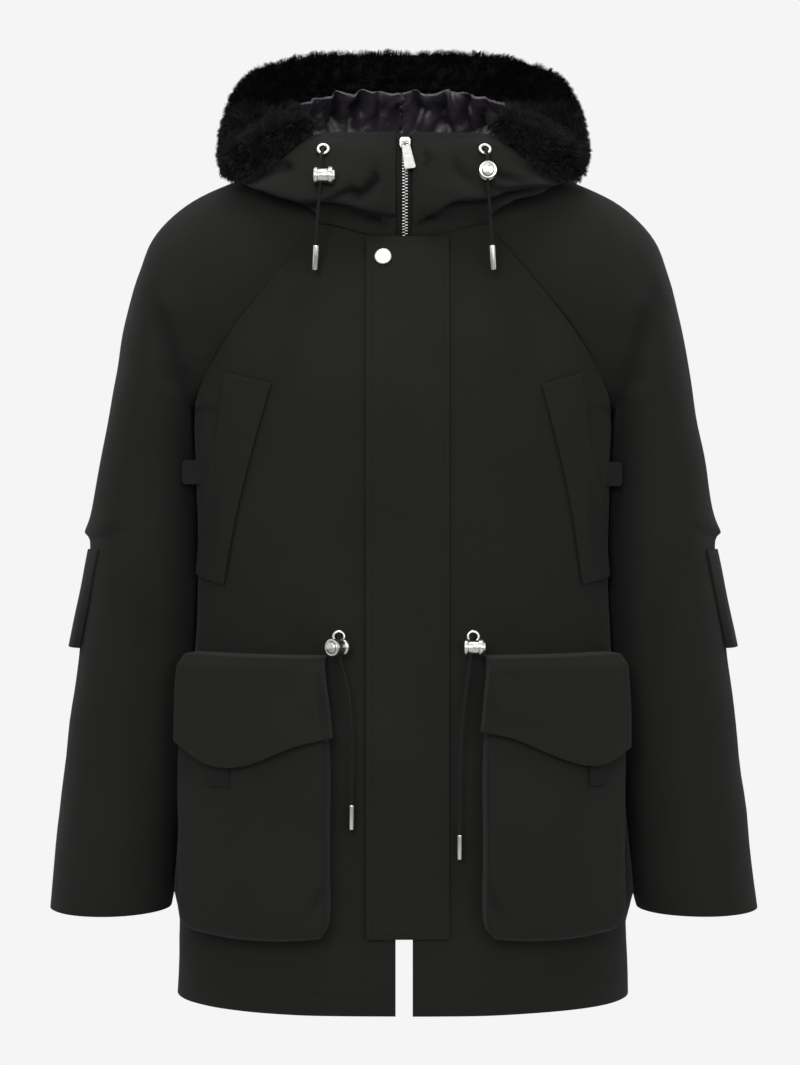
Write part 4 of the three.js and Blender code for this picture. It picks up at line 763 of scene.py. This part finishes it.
def lap_side_seams(fronts, back):
    """Lets the rims of front and back lap at the side seams, so that no light shows between them."""
    for obj, way in ((fronts[0], 1), (fronts[1], 1), (back, -1)):
        points = points_of(obj)
        low = np.clip((-0.24 - points[:, 2]) / 0.02, 0, 1)
        seam = points[:, 1].max() if way > 0 else points[points[:, 2] < -0.3][:, 1].min()
        points[:, 1] += way * SEAM_LAP * low * np.exp(-((points[:, 1] - seam) / SEAM_REACH) ** 2)
        set_points(obj, points)


# Gaps between the body's sides and the sleeves, measured on a grid of heights and depths
SIDE_ROWS, SIDE_COLUMNS = np.linspace(-0.80, -0.22, 59), np.linspace(-0.13, 0.13, 27)
SIDE_GAPS = np.zeros((2, len(SIDE_ROWS), len(SIDE_COLUMNS)))


def side_gap(points):
    """How far a sleeve stands from the body's side beside each point."""
    rows, columns, gaps = SIDE_ROWS, SIDE_COLUMNS, SIDE_GAPS
    row = np.clip((points[:, 2] - rows[0]) / (rows[1] - rows[0]), 0, len(rows) - 1.001)
    column = np.clip((points[:, 1] - columns[0]) / (columns[1] - columns[0]), 0, len(columns) - 1.001)
    r, c, fr, fc = row.astype(int), column.astype(int), row % 1, column % 1
    s = (points[:, 0] > 0).astype(int)
    gap = (gaps[s, r, c] * (1 - fr) * (1 - fc) + gaps[s, r + 1, c] * fr * (1 - fc)
           + gaps[s, r, c + 1] * (1 - fr) * fc + gaps[s, r + 1, c + 1] * fr * fc)
    return gap * np.clip((-0.20 - points[:, 2]) / 0.03, 0, 1) * np.clip((points[:, 2] + 0.82) / 0.03, 0, 1)


def swell(obj):
    """Moves the side of a body piece out towards the sleeve."""
    points = points_of(obj)
    share = 0.42 * np.clip((np.abs(points[:, 0]) - 0.15) / 0.05, 0, 1)
    points[:, 0] += np.sign(points[:, 0]) * share * side_gap(points)
    set_points(obj, points)


def close_sides(body, sleeves):
    """Lets the sides of the body and the sleeves swell towards each other until they nearly touch, and paints
    shade on the sleeves' inner sides next to the body.
    """
    torso, arms = hits(body), hits(sleeves)
    rows, columns = SIDE_ROWS, SIDE_COLUMNS
    gaps = np.zeros(SIDE_GAPS.shape)
    for s, (_, side) in enumerate(SIDES):
        for r, z in enumerate(rows):
            for c, y in enumerate(columns):
                skin = torso.ray_cast(Vector((side * 0.6, y, z)), Vector((-side, 0, 0)))[0]
                if skin is None or skin.x * side < 0.12:
                    continue
                arm = arms.ray_cast(skin, Vector((side, 0, 0)))[0]
                if arm is not None:
                    gaps[s, r, c] = min(max((arm.x - skin.x) * side - 0.0018, 0), 0.03)
    for _ in range(3):
        padded = np.pad(gaps, ((0, 0), (1, 1), (1, 1)), mode="edge")
        around = (padded[:, :-2, 1:-1] + padded[:, 2:, 1:-1] + padded[:, 1:-1, :-2] + padded[:, 1:-1, 2:]) / 4
        gaps = np.minimum(gaps, 0.5 * gaps + 0.5 * around)
    SIDE_GAPS[:] = gaps
    for obj in body:
        swell(obj)
    for obj in sleeves:
        points = points_of(obj)
        far = np.abs(points[:, 0])
        points[:, 0] -= np.sign(points[:, 0]) * 0.58 * side_gap(points) * np.clip((0.285 - far) / 0.06, 0, 1)
        # Painted shade on the sleeve's inner side, where it hangs close beside the body.
        painted_shade_by_body = np.clip((0.268 - far) / 0.032, 0, 1) * np.clip((-0.23 - points[:, 2]) / 0.05, 0, 1)
        painted_shade_by_body *= np.clip((points[:, 2] + 0.60) / 0.1, 0.5, 1)
        data = obj.data.attributes["shade"].data
        shade = np.empty(len(points))
        data.foreach_get("value", shade)
        data.foreach_set("value", np.maximum(shade, painted_shade_by_body))
        set_points(obj, points)


# Operators, one for each piece or group of like pieces
class PARKA_OT_materials(bpy.types.Operator):
    """Makes the finishes of the cloth, the fur and the metal."""
    bl_idname = "parka.materials"
    bl_label = "Make materials"

    def execute(self, context):
        look = context.scene.parka_colours
        colour = {name: tuple(getattr(look, name)) for name in look.__annotations__}
        weave_effect()
        rumple_effect()
        scratch_effect()
        MATERIALS.update({
            "shell": cloth_material("shell_cloth", colour["shell"], 0.85),
            "lining": cloth_material("lining_nylon", colour["lining"], 0.38, threads=2600.0, rumple=30.0,
                                     depth=0.006, coat=0.12, gloss=0.75),
            "webbing": cloth_material("webbing", colour["webbing"], 0.85, threads=700.0, rumple=60.0,
                                      depth=0.0006),
            "cord": cloth_material("cord_braid", colour["cord"], 0.75, threads=900.0, rumple=200.0,
                                   depth=0.0004),
            "thread": cloth_material("thread", colour["thread"], 0.8, threads=3000.0, rumple=400.0,
                                     depth=0.0002),
            "metal": metal_material("polished_metal", colour["metal"], 0.2),
            "pull_metal": metal_material("matte_metal", colour["pull"], 0.34),
            "snap_metal": metal_material("brushed_metal", colour["snap"], 0.46),
            "fur": fur_material(colour["fur"]),
        })
        return {"FINISHED"}


class PARKA_OT_stage(bpy.types.Operator):
    """Sets the camera, the floor and backdrop, and the studio lights."""
    bl_idname = "parka.stage"
    bl_label = "Build stage"

    def execute(self, context):
        look = context.scene.parka_stage
        scene = context.scene
        scene.view_settings.view_transform = "Standard"
        camera = bpy.data.objects.new("camera", bpy.data.cameras.new("camera"))
        camera.location = (-0.0033, -look.distance, look.height)
        camera.rotation_euler = (math.pi / 2, 0, 0)
        camera.data.lens = look.lens
        camera.data.sensor_width = 36
        camera.data.clip_end = 60
        scene.collection.objects.link(camera)
        scene.camera = camera

        bm = bmesh.new()
        profile = [(-9.0, look.floor), (4.0, look.floor)]
        profile += [(4.0 + 1.2 * math.sin(a), look.floor + 1.2 * (1 - math.cos(a)))
                    for a in (math.pi / 2 * i / 12 for i in range(1, 13))]
        profile.append((5.2, 6.0))
        verts = [bm.verts.new((-9.0, y, z)) for y, z in profile]
        edges = [bm.edges.new(pair) for pair in zip(verts[:-1], verts[1:])]
        made = bmesh.ops.extrude_edge_only(bm, edges=edges)
        moved = [v for v in made["geom"] if isinstance(v, bmesh.types.BMVert)]
        bmesh.ops.translate(bm, verts=moved, vec=(18.0, 0, 0))
        bmesh.ops.recalc_face_normals(bm, faces=bm.faces)
        floor = object_from("studio_floor", bm)
        material, tree, shader = new_material("studio_paper")
        shader.inputs["Base Color"].default_value = (0.86, 0.86, 0.86, 1)
        shader.inputs["Roughness"].default_value = 0.9
        path = tree.nodes.new("ShaderNodeLightPath")
        glow = wire(tree, "ShaderNodeEmission", {"Color": (0.913, 0.913, 0.913, 1), "Strength": 1.0})
        seen = wire(tree, "ShaderNodeMixShader", {0: path.outputs["Is Camera Ray"], 1: shader.outputs[0],
                                                  2: glow.outputs[0]})
        tree.links.new(seen.outputs[0], tree.nodes["Material Output"].inputs["Surface"])
        floor.data.materials.append(material)
        floor.data.shade_smooth()
        floor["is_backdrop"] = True

        world = bpy.data.worlds.new("studio")
        world.use_nodes = True
        world.node_tree.nodes["Background"].inputs["Color"].default_value = (1, 1, 1, 1)
        path = world.node_tree.nodes.new("ShaderNodeLightPath")
        tree = world.node_tree
        light = wire(tree, "ShaderNodeMapRange", {"Value": path.outputs["Is Glossy Ray"], 3: 0.22, 4: 0.72})
        shown = wire(tree, "ShaderNodeMapRange", {"Value": path.outputs["Is Camera Ray"], 3: 0.0, 4: 0.693})
        strength = wire(tree, "ShaderNodeMath", {0: light.outputs[0], 1: shown.outputs[0]}, operation="ADD")
        tree.links.new(strength.outputs[0], tree.nodes["Background"].inputs["Strength"])
        scene.world = world
        lamps = (
            ("key", (-0.8, -3.2, 0.8), 1.4, 33),
            ("fill", (1.3, -3.2, 0.3), 1.8, 18),
            ("top", (0.0, -0.9, 2.2), 1.2, 16),
            ("rim_left", (-2.4, 1.2, 0.4), 1.4, 3),
            ("rim_right", (2.4, 1.2, 0.4), 1.4, 1.5),
            ("back", (0.6, 3.4, 0.7), 1.6, 22),
        )
        for name, place, size, power in lamps:
            lamp = bpy.data.lights.new(name, "AREA")
            lamp.shape = "DISK"
            lamp.size = size
            lamp.energy = power
            obj = bpy.data.objects.new(name, lamp)
            obj.location = place
            obj.visible_camera = False
            obj.rotation_euler = (Vector((0, 0, -0.4)) - Vector(place)).to_track_quat("-Z", "Y").to_euler()
            scene.collection.objects.link(obj)
        return {"FINISHED"}


class PARKA_OT_cords(bpy.types.Operator):
    """Builds the four drawcords with their eyelets, locks, buttons and metal ends."""
    bl_idname = "parka.cords"
    bl_label = "Build drawcords"

    def lock(self, key):
        place, side = key.split("_")
        centre, turn = LOCKS[key]
        body = lathe(f"{place}_lock_{side}_metal", LOCK_PROFILE, (0, 0, 0), (1, 0, 0), 56)
        hole = bmesh.new()
        bmesh.ops.create_cone(hole, cap_ends=True, segments=24, radius1=CORD_HOLE, radius2=CORD_HOLE,
                              depth=30 * MM)
        cutter = object_from("cord_hole", hole)
        cut = body.modifiers.new("hole", "BOOLEAN")
        cut.operation = "DIFFERENCE"
        cut.solver = "EXACT"
        cut.object = cutter
        apply_modifiers(body)
        bpy.data.objects.remove(cutter)
        button = lathe(f"{place}_lock_button_{side}_metal", BUTTON_PROFILE, (0, 0, 0), (1, 0, 0), 48)
        matrix = Matrix.Translation(Vector(centre) * MM) @ Matrix.Rotation(math.radians(turn), 4, "Z")
        for obj in (body, button):
            obj.data.transform(matrix)
            rounded(obj, 0.00025, 2)
        finish_piece(body, "metal", "coat", (f"{place}_lock_{side}",))
        finish_piece(button, "metal", f"button_{key}", (f"{place}_lock_button_{side}",))
        return body, button

    def execute(self, context):
        for key, route in CORD_ROUTES.items():
            place, side = key.split("_")
            eyelet = lathe(f"{place}_eyelet_{side}_metal", EYELET_PROFILE, *EYELETS[key])
            if place == "hood":
                set_points(eyelet, lean(points_of(eyelet), key))
            finish_piece(eyelet, "metal", "coat", (f"{place}_eyelet_{side}",))
            end = lathe(f"{place}_cord_end_{side}_metal", CORD_END_PROFILE, *CORD_ENDS[key])
            finish_piece(end, "metal", "coat", (f"{place}_cord_end_{side}",))
            body, button = self.lock(key)
            points = smooth_route(route)
            curve = bpy.data.curves.new(f"{place}_cord_{side}_braid", "CURVE")
            curve.dimensions = "3D"
            curve.bevel_depth = CORD_RADIUS
            curve.bevel_resolution = 4
            curve.use_fill_caps = True
            line = curve.splines.new("POLY")
            line.points.add(len(points) - 1)
            for point, at in zip(line.points, points):
                point.co = (*at, 1)
            cord = bpy.data.objects.new(curve.name, curve)
            context.scene.collection.objects.link(cord)
            finish_piece(cord, "cord", "coat", (f"{place}_cord_{side}",))
        return {"FINISHED"}


class PARKA_OT_body(bpy.types.Operator):
    """Builds the fronts, the back and the raglan sleeves."""
    bl_idname = "parka.body"
    bl_label = "Build fronts, back and sleeves"

    def execute(self, context):
        fronts = [cloth_piece(f"front_{side}", "body", 2) for side, _ in SIDES]
        sleeves = [cloth_piece(f"sleeve_{side}", "sleeve", 2) for side, _ in SIDES]
        back = cloth_piece("back", "body", 2)
        lap_side_seams(fronts, back)
        close_sides([*fronts, back], sleeves)
        return {"FINISHED"}


class PARKA_OT_elbows(bpy.types.Operator):
    """Builds the panels under the elbow tucks."""
    bl_idname = "parka.elbows"
    bl_label = "Build elbow panels"

    def execute(self, context):
        for side, _ in SIDES:
            panel = cloth_piece(f"elbow_panel_{side}", "sleeve", 3, softness=0.6)
        return {"FINISHED"}


class PARKA_OT_hood(bpy.types.Operator):
    """Builds the two halves of the hood and collar."""
    bl_idname = "parka.hood"
    bl_label = "Build hood"

    def execute(self, context):
        for side, _ in SIDES:
            half = cloth_piece(f"hood_{side}", "hood", 3)
            points = points_of(half)
            away = np.clip((points[:, 1] + 0.03) / 0.1, 0, 1)
            height = 0.0022 * away * waves(points, 0.075, 21)
            points = points + outward("hood", points) * height[:, None]
            set_points(half, lean(points, f"hood_{side}"))
        return {"FINISHED"}


class PARKA_OT_lining(bpy.types.Operator):
    """Builds the padded, shiny lining of the hood."""
    bl_idname = "parka.lining"
    bl_label = "Build hood lining"

    def execute(self, context):
        lining = cloth_piece("hood_lining", "lining", 3, "lining", softness=0.4)
        points = points_of(lining)
        points += np.array((0, -0.012, 0)) * np.clip((points[:, 1] - 0.02) / 0.05, 0, 1)[:, None]
        points += np.array((0, 0.009, 0)) * np.clip((-0.02 - points[:, 1]) / 0.03, 0, 1)[:, None]
        around = np.arctan2(points[:, 0], points[:, 1] - 0.03)
        slant = around * 8.5 + points[:, 2] * 42 + 1.5 * waves(points, 0.085, 31)
        puffs = np.abs(np.sin(slant)) ** 0.55 - 0.5
        fine = np.abs(np.sin(around * 23 - points[:, 2] * 80 + 2.3 * waves(points, 0.05, 33))) ** 0.8 - 0.5
        back = np.clip((points[:, 1] - 0.02) / 0.05, 0, 1)
        height = 0.3 * (0.0085 * puffs + 0.003 * fine)
        points = points - outward("hood", points) * height[:, None]
        forward = back * (0.010 * puffs + 0.0045 * fine + 0.004)
        points += np.stack([-0.35 * np.sign(points[:, 0]) * forward, -forward, -0.25 * forward], axis=1)
        lift = back * np.clip((points[:, 2] - 0.09) / 0.035, 0, 1)
        points += np.array((0, -0.006, 0.004)) * lift[:, None]
        set_points(lining, points)
        return {"FINISHED"}


class PARKA_OT_fur(bpy.types.Operator):
    """Builds the short pile of the fur trim as strands on a backing."""
    bl_idname = "parka.fur"
    bl_label = "Build fur trim"

    def backing(self, look):
        """Makes the skin under the pile. Returns the triangles, corners and normals of the pile's surface."""
        bm = merged("fur_trim")
        bmesh.ops.triangulate(bm, faces=bm.faces)
        bm.normal_update()
        triangles = np.array([[v.index for v in f.verts] for f in bm.faces])
        corners = np.array([v.co for v in bm.verts])
        normals = np.array([v.normal for v in bm.verts])
        for vert in bm.verts:
            vert.co -= vert.normal * look.core
        bmesh.ops.subdivide_edges(bm, edges=bm.edges, cuts=1, smooth=0.6, use_grid_fill=True)
        skin = object_from("fur_backing", bm)
        set_values(skin.data, "tone", np.full(len(skin.data.vertices), 0.7))
        set_values(skin.data, "tip", np.full(len(skin.data.vertices), 0.1))
        finish_piece(skin, "fur", "coat", ("fur_trim",))
        return triangles, corners, normals

    def tuft_tips(self, look, chance, surface, share):
        """Points over the pile that the strands' tips gather to."""
        triangles, corners, normals = surface
        tufts = KDTree(look.tufts)
        for i, face in enumerate(chance.choice(len(triangles), size=look.tufts, p=share)):
            ends = triangles[face]
            tip = chance.dirichlet((1, 1, 1)) @ corners[ends] + normals[ends].mean(axis=0) * 0.005
            tufts.insert(Vector(tip), i)
        tufts.balance()
        return tufts

    def strands(self, look, chance, surface, share, tufts):
        """Roots, normals and the five points of each strand."""
        triangles, corners, normals = surface
        count = look.strands
        pick = chance.choice(len(triangles), size=count, p=share)
        u, v = chance.random(count), chance.random(count)
        over = u + v > 1
        u[over], v[over] = 1 - u[over], 1 - v[over]
        weights = np.stack([1 - u - v, u, v], axis=1)
        root = (corners[triangles[pick]] * weights[:, :, None]).sum(axis=1)
        normal = (normals[triangles[pick]] * weights[:, :, None]).sum(axis=1)
        normal /= np.linalg.norm(normal, axis=1)[:, None]
        clump = np.stack([waves(root, 0.016, s) for s in (41, 42, 43)], axis=1)
        swirl = np.stack([waves(root, 0.05, s) for s in (51, 52, 53)], axis=1)
        way = normal + 0.42 * clump + 0.35 * swirl + chance.normal(size=(count, 3)) * 0.16
        way += np.array((0, -0.05, -0.2))
        way /= np.linalg.norm(way, axis=1)[:, None]
        long = look.length * (0.82 + 0.18 * chance.random(count)) * (1 + 0.1 * waves(root, 0.012, 61))
        across = np.cross(way, chance.normal(size=(count, 3)))
        across /= np.linalg.norm(across, axis=1)[:, None]
        aside = across * STRAND_HALF_WIDTH * (0.8 + 0.5 * chance.random(count))[:, None]
        root = root - normal * look.core
        bend = chance.normal(size=(count, 3)) * 0.16 + np.array((0, 0, -0.16))
        middle = root + way * (long * 0.55)[:, None]
        tip = middle + (way + bend) * (long * 0.45)[:, None]
        gather = np.array([tufts.find(Vector(p))[0] for p in tip])
        tip += (gather - tip) * (0.3 + 0.3 * chance.random(count))[:, None]
        points = [root - aside, root + aside, middle + aside * 0.8, middle - aside * 0.8, tip]
        return root, normal, np.stack(points, axis=1).reshape(-1, 3)

    def tone_with_painted_light(self, chance, root, normal):
        """Tone of each strand: a random tone, with painted light on the lobes turned out to the front and
        painted shade inside the hood.
        """
        # Painted shade on strands rooted inside the hood and facing in.
        inside = np.clip(root[:, 1] / 0.07, 0, 1) * np.clip(0.4 - normal[:, 1], 0, 1)
        # Painted light on the lobes turned out to the front.
        left = 0.120 - 1.14 * (root[:, 0] + 0.137)
        right = 0.084 + 0.654 * (root[:, 0] - 0.109)
        painted_light_lobe = np.clip((np.where(root[:, 0] < 0, left, right) - root[:, 2]) / 0.012 + 0.5, 0, 1)
        painted_light_lobe *= np.clip(1 - root[:, 1] / 0.12, 0, 1)
        tone = 0.7 + 0.6 * chance.random(len(root))
        return tone * (1 - 0.9 * np.clip(inside * 2, 0, 1)) * (0.42 + 1.3 * painted_light_lobe)

    def execute(self, context):
        look = context.scene.parka_fur
        surface = self.backing(look)
        triangles, corners, _ = surface
        a, b, c = (corners[triangles[:, i]] for i in range(3))
        area = np.linalg.norm(np.cross(b - a, c - a), axis=1)
        share = area / area.sum()
        chance = np.random.default_rng(12)
        tufts = self.tuft_tips(look, chance, surface, share)
        count = look.strands
        start = np.arange(count)[:, None] * 5
        loops = np.concatenate([start + np.array([0, 1, 2, 3]), start + np.array([3, 2, 4])], axis=1)
        begins = np.arange(count)[:, None] * 7 + np.array([0, 4])
        for piece in range(3):
            root, normal, points = self.strands(look, chance, surface, share, tufts)
            data = bpy.data.meshes.new(f"fur_pile_{piece + 1}")
            data.vertices.add(count * 5)
            data.vertices.foreach_set("co", points.ravel())
            data.loops.add(count * 7)
            data.loops.foreach_set("vertex_index", loops.ravel().astype(np.int32))
            data.polygons.add(count * 2)
            data.polygons.foreach_set("loop_start", begins.ravel().astype(np.int32))
            data.polygons.foreach_set("loop_total", np.tile([4, 3], count).astype(np.int32))
            data.update(calc_edges=True)
            set_values(data, "tone", np.repeat(self.tone_with_painted_light(chance, root, normal), 5))
            set_values(data, "tip", np.tile([0.0, 0.0, 0.6, 0.6, 1.0], count))
            obj = bpy.data.objects.new(data.name, data)
            context.scene.collection.objects.link(obj)
            finish_piece(obj, "fur", "coat", ("fur_trim",))
        return {"FINISHED"}


class PARKA_OT_placket(bpy.types.Operator):
    """Builds the storm flap over the zip and its snap."""
    bl_idname = "parka.placket"
    bl_label = "Build placket"

    def execute(self, context):
        placket = cloth_piece("placket", "body", 3, softness=0.8)
        snap = lathe("placket_snap_metal", SNAP_PROFILE, *SNAP, steps=64)
        finish_piece(snap, "snap_metal", "coat", ("placket_snap",))
        return {"FINISHED"}


class PARKA_OT_pockets(bpy.types.Operator):
    """Builds the bellows pockets with their flaps and webbing tabs."""
    bl_idname = "parka.pockets"
    bl_label = "Build pockets"

    def execute(self, context):
        for side, _ in SIDES:
            pocket = cloth_piece(f"cargo_pocket_{side}", "pocket", 3, softness=0.8, angle=75)
            flap = cloth_piece(f"cargo_flap_{side}", "flap", 3, softness=0.8, angle=48)
            tab = cloth_piece(f"flap_tab_{side}", "body", 2, "webbing", softness=0.8)
        return {"FINISHED"}


class PARKA_OT_welts(bpy.types.Operator):
    """Builds the hand-warmer welts and the webbing tabs at the side seams."""
    bl_idname = "parka.welts"
    bl_label = "Build welts and side tabs"

    def execute(self, context):
        for side, sign in SIDES:
            welt = cloth_piece(f"chest_welt_{side}", "body", 3)
            swell(welt)
            tab = cloth_piece(f"side_tab_{side}", "none", 2, "webbing", softness=0.2)
            set_points(tab, points_of(tab) + np.array((sign * 0.003, -0.002, 0)))
        return {"FINISHED"}


class PARKA_OT_zip(bpy.types.Operator):
    """Builds the zip's tapes, its interlocked teeth, the slider and the pull."""
    bl_idname = "parka.zip"
    bl_label = "Build zip"

    def execute(self, context):
        for side, _ in SIDES:
            tape = cloth_piece(f"zip_tape_{side}", "body", 1, "webbing", softness=0.2)
        line = smooth_route([(ZIP_X, y, z) for y, z in ZIP_LINE], 0.0015)
        bm = bmesh.new()
        for i in range(0, len(line) - 1, 1):
            at = line[i]
            down = (line[min(i + 1, len(line) - 1)] - line[max(i - 1, 0)]).normalized()
            out = Vector((1, 0, 0)).cross(down)
            out = -out if out.y > 0 else out
            hand = 1 if i % 2 else -1
            place = Matrix((
                (1, 0, 0, at.x + hand * 0.00150), (0, out.y, down.y, at.y - out.y * 0.0013),
                (0, out.z, down.z, at.z - out.z * 0.0013), (0, 0, 0, 1)))
            size = Matrix.Diagonal((0.0036, 0.0026, 0.00098, 1))
            made = bmesh.ops.create_cube(bm, size=1.0, matrix=place @ size)
            edges = list({e for v in made["verts"] for e in v.link_edges})
            bmesh.ops.bevel(bm, geom=edges, offset=0.00022, segments=1, profile=0.5, affect="EDGES",
                            material=-1)
        bmesh.ops.recalc_face_normals(bm, faces=bm.faces)
        teeth = object_from("zip_teeth", bm)
        finish_piece(teeth, "metal", "coat", ("zip_chain",))
        for node, body, width in (("zip_slider", "coat", 0.00045), ("zip_pull", "pull", 0.0004)):
            bm = merged(node)
            bmesh.ops.dissolve_limit(bm, angle_limit=0.02, verts=bm.verts, edges=bm.edges)
            piece = rounded(object_from(node + "_metal", bm), width)
            finish_piece(piece, "pull_metal" if node == "zip_pull" else "metal", body, (node,))
            for polygon in piece.data.polygons:
                polygon.use_smooth = polygon.area < 2e-6
        return {"FINISHED"}


class PARKA_OT_stitching(bpy.types.Operator):
    """Lays the rows of topstitching on the finished cloth."""
    bl_idname = "parka.stitching"
    bl_label = "Build stitching"

    def execute(self, context):
        step = context.scene.parka_cloth.stitch
        cloth = [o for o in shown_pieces() if o.type == "MESH" and o.name.endswith("_cloth")]
        tree = hits(cloth)
        for group in ("front", "back"):
            bm = bmesh.new()
            for name, side, line in STITCHES:
                if name != group:
                    continue
                path = [Vector((x, 0, z)) * MM for x, z in line]
                total = sum((b - a).length for a, b in zip(path[:-1], path[1:]))
                found = []
                for i in range(int(total / step) + 1):
                    left = i * step
                    for a, b in zip(path[:-1], path[1:]):
                        if left <= (b - a).length:
                            break
                        left -= (b - a).length
                    at = a.lerp(b, min(left / (b - a).length, 1))
                    hit, normal, _, _ = tree.ray_cast(Vector((at.x, side * 1.0, at.z)), Vector((0, -side, 0)))
                    found.append((hit, normal) if hit is not None else None)
                for here, there in zip(found[:-1], found[1:]):
                    if here is None or there is None or (here[0] - there[0]).length > 2.2 * step:
                        continue
                    way = (there[0] - here[0]).normalized()
                    out = here[1] if here[1].y * side > 0 else -here[1]
                    aside = way.cross(out).normalized()
                    out = aside.cross(way)
                    middle = here[0].lerp(there[0], 0.5) + out * 0.0001
                    place = Matrix((
                        (way.x, aside.x, out.x, middle.x), (way.y, aside.y, out.y, middle.y),
                        (way.z, aside.z, out.z, middle.z), (0, 0, 0, 1)))
                    size = Matrix.Diagonal((step * 0.72, 0.00062, 0.0005, 1))
                    bmesh.ops.create_icosphere(bm, subdivisions=1, radius=0.5, matrix=place @ size)
            rows = object_from(f"stitching_{group}", bm)
            finish_piece(rows, "thread")
        return {"FINISHED"}


class PARKA_PT_panel(bpy.types.Panel):
    """Settings and steps of the parka."""
    bl_label = "Parka"
    bl_idname = "PARKA_PT_panel"
    bl_space_type = "VIEW_3D"
    bl_region_type = "UI"
    bl_category = "Parka"

    def draw(self, context):
        layout = self.layout
        for key in GROUPS:
            group = getattr(context.scene, key)
            for name in group.__annotations__:
                layout.prop(group, name)
        for operator in OPERATORS:
            layout.operator(operator.bl_idname)


GROUPS = {
    "parka_cloth": ParkaCloth,
    "parka_fur": ParkaFur,
    "parka_stage": ParkaStage,
    "parka_colours": ParkaColours,
}
OPERATORS = (
    PARKA_OT_materials, PARKA_OT_stage, PARKA_OT_cords, PARKA_OT_body, PARKA_OT_elbows, PARKA_OT_hood,
    PARKA_OT_lining, PARKA_OT_fur, PARKA_OT_placket, PARKA_OT_pockets, PARKA_OT_welts,
    PARKA_OT_zip, PARKA_OT_stitching,
)


def register():
    for item in (*GROUPS.values(), *OPERATORS, PARKA_PT_panel):
        bpy.utils.register_class(item)
    for key, group in GROUPS.items():
        setattr(bpy.types.Scene, key, PointerProperty(type=group))


def unregister():
    for key in GROUPS:
        delattr(bpy.types.Scene, key)
    for item in reversed((*GROUPS.values(), *OPERATORS, PARKA_PT_panel)):
        bpy.utils.unregister_class(item)


def main():
    register()
    bpy.ops.parka.materials()
    bpy.ops.parka.stage()
    bpy.ops.parka.cords()
    bpy.ops.parka.body()
    bpy.ops.parka.elbows()
    bpy.ops.parka.hood()
    bpy.ops.parka.lining()
    bpy.ops.parka.fur()
    bpy.ops.parka.placket()
    bpy.ops.parka.pockets()
    bpy.ops.parka.welts()
    bpy.ops.parka.zip()
    bpy.ops.parka.stitching()


if __name__ == "__main__":
    main()
